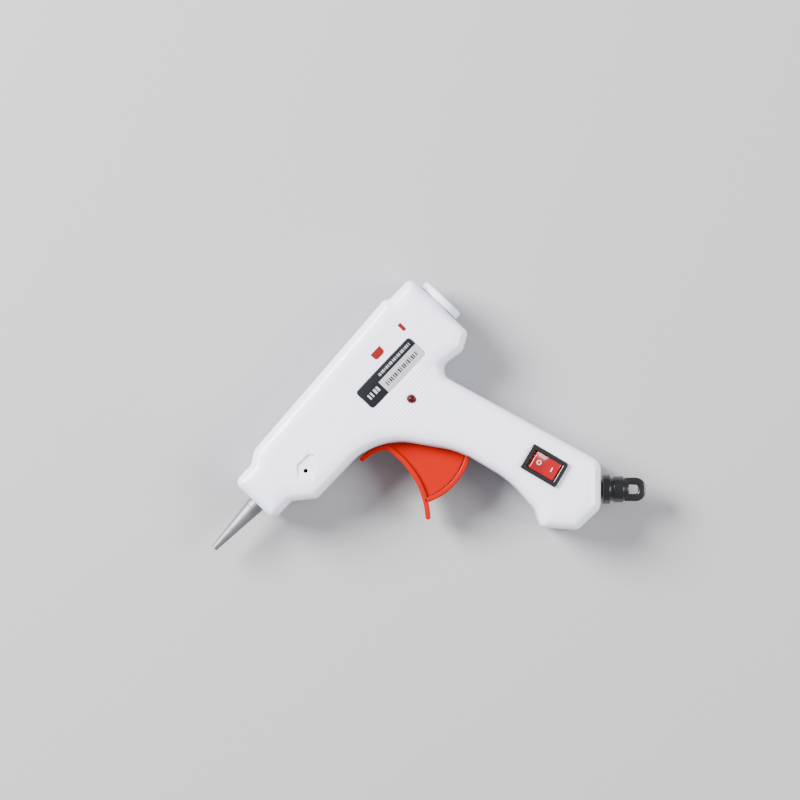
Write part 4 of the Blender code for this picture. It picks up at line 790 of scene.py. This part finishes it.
def buildRibs():
    # a sheet over the flat side: side height - sunk + (crest + sunk) * (0.5 + 0.5 sin(2 pi y / pitch)) * fade,
    # where fade falls to 0 at the panel's edge, near the housing's ridge and round the lamp
    r = ribPanel
    xs, ys = (np.linspace(low, high, count) for low, high, count in zip(r["low"], r["high"], r["cells"]))
    x, y = (side.ravel() for side in np.meshgrid(xs, ys))
    spots = np.column_stack([x, y])
    ridge = outlineRing(housing["corners"], housing["ridgeInset"], housing["spacing"])
    inside = insideDistance(spots, ridge)
    fromLamp = np.linalg.norm(spots - middleOf("indicator_led"), axis=1) - r["lampClear"]
    edge = np.minimum.reduce([x - xs[0], xs[-1] - x, y - ys[0], ys[-1] - y, inside - 0.4, fromLamp])
    fade = smoothStep(edge / r["soft"])
    wave = 0.5 + 0.5 * np.sin(2 * np.pi * y / r["pitch"])
    height = (faceHalf + midZ) / mm - sideDrop(inside) - r["sunk"] + (r["crest"] + r["sunk"]) * wave * fade
    faces = gridFaces(len(ys), len(xs), closed=False)
    faces = faces[((inside > 0.3) & (fromLamp > -0.25))[faces].all(axis=1)]
    used, renamed = np.unique(faces, return_inverse=True)
    points = np.column_stack([spots, height])[used] * mm
    ribs = makeObject("thumbRibs", points, renamed.reshape(faces.shape), 60.0)
    if sum(p.normal.z * p.area for p in ribs.data.polygons) < 0:
        ribs.data.flip_normals()
    thick = ribs.modifiers.new("sheet", "SOLIDIFY")
    thick.thickness = r["sheet"] * mm
    thick.offset = -1
    finishPiece(ribs, "white", "housing", ("left_shell",))


buildRibs()
print("housing made")


nozzle = {
    "tip": 1.13, "mouth": 0.85, "bore": 0.6, "wideBore": 1.4, "root": 3.05, "shank": 3.2,   # radii
    "flange": 4.4, "flangeSpan": (-46.2, -43.5), "spigot": 2.2, "spigotEnd": -38.7,
}


def buildNozzle():
    # section from the mouth of the bore over the cone, shank, flange and spigot, and back along the bore
    n = nozzle
    tip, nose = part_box("nozzle")[0].x / mm, noseX / mm
    front, back = n["flangeSpan"]
    section = [
        (tip + 2.0, n["bore"], 0), (tip + 0.05, n["bore"], 0), (tip, n["mouth"], 0.1), (tip, n["tip"], 0.12),
        (nose - 2.6, n["root"], 0.2), (nose - 2.2, n["shank"], 0.25), (front, n["shank"], 0),
        (front, n["flange"], 0.1), (back, n["flange"], 0.1), (back, n["spigot"], 0),
        (n["spigotEnd"], n["spigot"], 0), (n["spigotEnd"], n["wideBore"], 0), (tip + 6.0, n["wideBore"], 0),
        (tip + 2.0, n["bore"], 0)]
    finishPiece(turned("nozzleTip", section, segments=96), "nozzle", "housing", ("nozzle",))


buildNozzle()


trigger = {
    # toe, knees and tip of the blade's middle line: x, y, radius of the bend
    "blade": [(-10.1, -17.02, 0), (-5.2, -17.45, 14.0), (-0.62, -20.5, 3.0), (1.58, -37.93, 33.3),
              (-8.95, -49.37, 0)],
    "half": 6.0, "thick": 1.9, "soft": 0.5,
    "rimCentre": (6.2, -24.2), "rimRadius": 24.15, "rimFrom": -119, "rimTo": -58, "rimSoft": 0.45,
    "cheek": (3.2, 4.6), "groove": 0.28, "back": [[14.0, -28.0], [8.0, -16.0], [0.0, -12.0]],
    # the two arms that reach up to the carriage's side pins, and the open slot in each
    "arm": (7.2, 8.7), "armHalf": 3.0, "armLean": 11, "reach": 12.0, "armPast": 2.6, "slot": 1.5,
    "hub": 3.6, "hubBore": 1.8,
}


def buildTrigger():
    t = trigger
    mid = midZ / mm
    softPlate("triggerBlade", None, mid - t["half"], mid + t["half"], t["soft"],
              outline=bandOutline(t["blade"], t["thick"] / 2))
    centre = np.array(t["rimCentre"])
    direction = rays(np.radians(np.linspace(t["rimFrom"], t["rimTo"], 60)))

    def rimRing(inset):
        outer = centre + (t["rimRadius"] - inset) * direction
        inner = centre + (t["rimRadius"] - t["thick"] + inset) * direction
        return np.concatenate([outer, inner[::-1]])
    softPlate("triggerRim", None, mid - t["half"], mid + t["half"], t["rimSoft"], outline=rimRing)
    # cheek: the blade's line inside the rim, then the rim's inner arc less the groove, then the back corners
    blade = strip(t["blade"][2:], 0.0)
    radius = t["rimRadius"] - t["thick"] - t["groove"]
    blade = blade[np.linalg.norm(blade - centre, axis=1) < radius]
    first = math.atan2(*(blade[-1] - centre)[::-1])
    low = centre + radius * rays(np.linspace(first, math.radians(t["rimTo"]), 40))
    web = np.concatenate([blade, low, t["back"]])
    # arm: a bar from the hub with a slot, open at its end, round the carriage's pin
    upright = Matrix.Translation((pivot[0] / mm, pivot[1] / mm, 0))
    leaning = upright @ Matrix.Rotation(-math.radians(t["armLean"]), 4, "Z")
    pin = t["reach"] / math.cos(math.radians(t["armLean"]))
    half, slot, end = t["armHalf"], t["slot"], pin + t["armPast"]
    foot = pin - slot - 0.4
    arm = [(-half, 0, 0.5), (half, 0, 0.5), (half, end, 0.8), (slot, end, 0.3), (slot, foot, 0.9),
           (-slot, foot, 0.9), (-slot, end, 0.3), (-half, end, 0.8)]
    for index, side in enumerate((-1, 1)):
        near, far = sorted(mid + side * edge for edge in t["cheek"])
        softPlate(f"triggerCheek{index + 1}", None, near, far, 0.0, outline=lambda inset: web)
        near, far = sorted(mid + side * edge for edge in t["arm"])
        softPlate(f"triggerArm{index + 1}", arm, near, far, 0.2, matrix=leaning)
    low, high = mid - t["arm"][1], mid + t["arm"][1]
    section = [(low, t["hubBore"], 0), (low, t["hub"], 0.3), (high, t["hub"], 0.3), (high, t["hubBore"], 0)]
    turned("triggerHub", section, matrix=upright, closed=True)
    for piece in ("Blade", "Rim", "Cheek1", "Cheek2", "Arm1", "Arm2", "Hub"):
        finishPiece(bpy.data.objects[f"trigger{piece}"], "orange", "trigger", ("trigger",))


buildTrigger()
print("trigger made")


switch = {
    "half": (7.6, 5.1), "proud": 1.5, "rim": 1.8, "depth": 10.5, "swing": 18.0, "soft": 0.45,
    # rocker: half length, half width, height of its ends, how much lower its middle lies, thickness
    "reach": 5.12, "halfRocker": 3.4, "stand": 2.5, "dip": 0.8, "thick": 3.6,
    "markAt": 2.7, "ring": (0.62, 0.90), "bar": (0.14, 0.85),
}


def buildSwitch():
    s = switch
    centre = gripPoint(handle["switchDown"], 0.0)
    place = Matrix.Translation((*centre, leftHigh.z / mm))
    place = place @ Matrix.Rotation(math.radians(features["switchTurn"]), 4, "Z")
    halfL, halfW = s["half"]
    corners = rectangle((-halfL, -halfW), (halfL, halfW), 0.9)
    # bezel: up the body, out under the flange, then quarter rounds of the soft radius on both its edges
    bend = np.linspace(0, np.pi / 2, 5)
    rise, fall = s["soft"] * (1 - np.sin(bend)), s["soft"] * (1 - np.cos(bend))
    rows = [(1.2, -s["depth"]), (1.2, 0.3), (0.0, 0.3), *zip(fall, s["proud"] - rise),
            *zip(s["rim"] - rise, s["proud"] - fall), (s["rim"], -4.5)]
    bezel = ringStack("switchBezel", [placed(outlineRing(corners, i, 0.5), h, place) for i, h in rows], 30.0)
    finishPiece(bezel, "black", "housing", ("switch_frame",))
    # rocker: a shallow V in side view, its edges rounded, tipped by half its swing
    reach, stand, under = s["reach"], s["stand"], s["stand"] - s["thick"]
    side = [(-reach, under + 0.9, 0.6), (0.0, under - 0.6, 3.0), (reach, under + 0.9, 0.6),
            (reach, stand, 0.35), (0.0, stand - s["dip"], 9.0), (-reach, stand, 0.35)]
    tipped = place @ Matrix.Rotation(math.radians(s["swing"] / 2), 4, "Y")
    rocker = softPlate("switchRocker", side, -s["halfRocker"], s["halfRocker"], 0.35,
                       matrix=tipped @ Matrix.Rotation(math.pi / 2, 4, "X"), spacing=0.3)
    finishPiece(rocker, "rocker", "rocker", ("switch_rocker",))
    # the plain circle and bar that mark its two ends, a hair proud of the rocker's top
    slope = math.atan2(s["dip"], reach)
    height = stand - s["dip"] + s["dip"] * s["markAt"] / reach - 0.02

    def spot(way):
        level = tipped @ Matrix.Translation((way * s["markAt"], 0, height))
        return level @ Matrix.Rotation(-way * slope, 4, "Y")
    inner, outer = s["ring"]
    ring = turned("rockerRing", [(-0.1, inner, 0), (0.06, inner, 0.03), (0.06, outer, 0.03), (-0.1, outer, 0)],
                  matrix=spot(-1), closed=True, segments=48)
    x, y = s["bar"]
    bar = softPlate("rockerBar", rectangle((-x, -y), (x, y), 0.1), -0.1, 0.06, 0.03, matrix=spot(1))
    for mark in (ring, bar):
        finishPiece(mark, "mark", "rocker")


buildSwitch()
print("switch made")


lamp = {"base": 1.95, "radius": 1.5, "low": 3.4, "collar": 2.2, "sink": 0.2, "crown": 1.6}


def buildLamp():
    # a dome on a flanged base: height = face - sink + crown sin a, radius = r cos a
    m = lamp
    face = leftHigh.z / mm
    bend = np.linspace(0, np.pi / 2, 12)
    dome = [(face - m["sink"] + m["crown"] * math.sin(a), m["radius"] * math.cos(a), 0) for a in bend]
    section = [(face - m["low"], 0, 0), (face - m["low"], m["base"], 0.1), (face - m["collar"], m["base"], 0.1),
               (face - m["collar"], m["radius"], 0), *dome]
    spot = Matrix.Translation((*middleOf("indicator_led"), 0))
    lens = turned("lampLens", section, matrix=spot, segments=48)
    finishPiece(lens, "lamp", "housing", ("indicator_led",))


buildLamp()
label = softPlate("ratingLabel", labelCorners(1.3), *(corner.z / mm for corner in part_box("rating_label")), 0.06,
                  spacing=0.3)
finishPiece(label, "label", "housing", ("rating_label",))

gland = {
    "half": 4.43, "window": 1.7, "windowRun": 3.6, "root": 9.1, "end": 10.4, "eyeRun": 6.28, "eyeHalf": 2.8,
    "ribs": 8, "notch": 0.65, "ribBand": (5.3, 8.0),
}


def glandFrame():
    middle, along = handleEnd()
    outward = np.array([-along[1], along[0]])
    outward = outward if outward[1] < 0 else -outward
    axis = Vector((*outward, 0))
    up = Vector((0, 0, 1))
    turn = Matrix((up, axis.cross(up), axis)).transposed().to_4x4()
    return Matrix.Translation((*middle, midZ / mm)) @ turn


def ribbing(along, angle, radius):
    # radius less the notch where cos(ribs * a) < -0.15, along the middle band
    low, high = gland["ribBand"]
    within = smoothStep((along - low) / 0.3) * smoothStep((high - along) / 0.3)
    notch = smoothStep((-np.cos(gland["ribs"] * angle) - 0.15) / 0.3) * within
    return radius - gland["notch"] * notch * (radius > 4.0)


def buildGland():
    place = glandFrame()
    body = turned("glandBody", [
        (-3.7, 1.6, 0), (-3.7, 5.1, 0.2), (-2.1, 5.1, 0.2), (-2.1, 3.6, 0), (0.8, 3.6, 0), (0.8, 5.5, 0.35),
        (3.6, 5.5, 0.5), (3.6, 4.4, 0.2), (4.9, 4.4, 0.2), (4.9, 4.9, 0.2), (8.4, 4.9, 0.2), (8.4, 4.4, 0.2),
        (10.4, 4.2, 0.5), (10.4, 1.6, 0.2)], matrix=place, closed=True, segments=144, ripple=ribbing)
    finishPiece(body, "gland", "housing", ("cable_gland",))
    half, window, root = gland["half"], gland["window"], gland["root"]
    tip, inner = gland["end"] + gland["eyeRun"], gland["end"] + gland["windowRun"]
    corners = [(root, -half * 0.98, 0.1), (tip, -half, 4.0), (tip, half, 4.0), (root, half * 0.98, 0.1),
               (root, window, 0.1), (inner, window, 1.1), (inner, -window, 1.1), (root, -window, 0.1)]
    lay = place @ Matrix(((0, 0, -1, 0), (0, 1, 0, 0), (1, 0, 0, 0), (0, 0, 0, 1)))
    eye = softPlate("glandEye", corners, -gland["eyeHalf"], gland["eyeHalf"], 0.6, matrix=lay, spacing=0.25)
    finishPiece(eye, "gland", "housing", ("cable_gland",))


buildGland()

collar = {"bore": 6.1, "flange": 8.7, "neck": 7.4, "inside": (47.2, 48.8), "outside": (0.3, 3.09)}


def buildCollar():
    # a ring with a groove for the rear wall: inner flange, neck and outer flange
    c = collar
    inLow, inHigh = c["inside"]
    outLow, outHigh = (rearX / mm + edge for edge in c["outside"])
    section = [(inLow, c["bore"], 0), (inLow, c["flange"], 0.1), (inHigh, c["flange"], 0.1),
               (inHigh, c["neck"], 0), (outLow, c["neck"], 0), (outLow, c["flange"], 0.2),
               (outHigh, c["flange"], 1.0), (outHigh, c["bore"], 0.8)]
    place = Matrix.Translation((0, middleOf("inlet_collar")[1], 0)) @ barrelFrame
    ring = turned("inletCollar", section, matrix=place, closed=True, segments=96)
    finishPiece(ring, "collar", "housing", ("inlet_collar",))


buildCollar()


springLow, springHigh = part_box("return_spring")
coil = {"turns": 6.0, "radius": 6.3, "wire": 0.3, "steps": 40, "sides": 10}


def buildCoil():
    # helix: x = start + run * s, (y, z) = R (cos a, sin a); the wire's circle is in the radial and X directions
    s = np.linspace(0, 1, int(coil["turns"] * coil["steps"]) + 1)
    a = 2 * np.pi * coil["turns"] * s
    start, end = springLow.x / mm + coil["wire"], springHigh.x / mm - coil["wire"]
    x = start + (end - start) * s
    radial = np.stack([np.zeros_like(a), np.cos(a), np.sin(a)], axis=1)
    centre = np.column_stack([x, np.zeros_like(x), np.full_like(x, midZ / mm)]) + coil["radius"] * radial
    b = np.linspace(0, 2 * np.pi, coil["sides"], endpoint=False)[None, :, None]
    circle = np.cos(b) * radial[:, None, :] + np.sin(b) * np.array([1.0, 0.0, 0.0])
    return ringStack("returnCoil", list(centre[:, None, :] + coil["wire"] * circle), 60.0)


finishPiece(buildCoil(), "spring", "housing", ("return_spring",))
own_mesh(bpy.data.objects["returnCoil"])

# the parts that keep the frame's own shape, and their finishes
kept = {
    "cast": ["melt_chamber"], "ceramic": ["ptc_element"],
    "silicone": ["inlet_sleeve"], "nylon": ["feed_carriage"],
    "contact": ["contact_plate_inner", "contact_plate_outer", "switch_terminal_1", "switch_terminal_2"],
    "spring": ["heater_clip", "clamp_jaw", "jaw_pin", "trigger_pivot_pin",
               *(f"housing_screw_{index}" for index in range(1, 7))],
    "resistor": ["led_resistor"], "brown": ["lead_live", "lead_switched"], "blue": ["lead_neutral"],
}
for finish, names in kept.items():
    for name in names:
        if not nodes[name].material_slots:
            nodes[name].data.materials.append(finishes[finish])
        for slot in nodes[name].material_slots:
            slot.material = finishes[finish]
print("inner parts finished")


studio = {
    "half": 1.6, "paper": (0.34, 0.34, 0.35), "faint": (0.33, 0.33, 0.34),
    "skyColour": (0.95, 0.96, 1.0), "sky": 0.60,
    # lights in metres and watts: name, place, target, width, power
    "lights": [("keyLight", (-0.25, 1.00, 0.85), (0, -0.02, 0), 0.7, 74.0),
               ("fillLight", (0.75, -0.75, 1.0), (0, -0.04, 0), 0.8, 25.0)],
}


def buildStudio():
    size = studio["half"]
    mesh = bpy.data.meshes.new("floor")
    corners = [(-size, -size, 0), (size, -size, 0), (size, size, 0), (-size, size, 0)]
    mesh.from_pydata(corners, [], [(0, 1, 2, 3)])
    floor = bpy.data.objects.new("floor", mesh)
    floor.location.z = rightLow.z - 0.00002
    bpy.context.scene.collection.objects.link(floor)
    material, tree, surface, where = newMaterial("floorPaper", studio["paper"], 0.85)
    shade = mathNode(tree, "MULTIPLY", noiseNode(tree, where, 40.0, 2.0), 0.04)
    tree.links.new(mixColour(tree, shade, studio["paper"], studio["faint"]), surface["Base Color"])
    floor.data.materials.append(material)
    for name, place, target, width, power in studio["lights"]:
        data = bpy.data.lights.new(name, "AREA")
        data.shape = "DISK"
        data.size = width
        data.energy = power
        light = bpy.data.objects.new(name, data)
        bpy.context.scene.collection.objects.link(light)
        light.location = place
        light.rotation_euler = (Vector(target) - Vector(place)).to_track_quat("-Z", "Y").to_euler()
    world = bpy.data.worlds.new("studioSky")
    world.use_nodes = True
    back = world.node_tree.nodes["Background"]
    back.inputs["Color"].default_value = (*studio["skyColour"], 1.0)
    back.inputs["Strength"].default_value = studio["sky"]
    bpy.context.scene.world = world


view = {"width": 0.2963, "distance": 1.4, "centre": (0.0153, -0.0121), "roll": 46.5}


def buildCamera():
    # straight down on the left side, rolled so that the barrel climbs to the right
    data = bpy.data.cameras.new("camera")
    data.sensor_width = 36.0
    data.lens = 36.0 * view["distance"] / view["width"]
    camera = bpy.data.objects.new("camera", data)
    camera.location = (*view["centre"], midZ + view["distance"])
    camera.rotation_euler = (0, 0, -math.radians(view["roll"]))
    bpy.context.scene.collection.objects.link(camera)
    bpy.context.scene.camera = camera


buildStudio()
buildCamera()
print("studio ready")
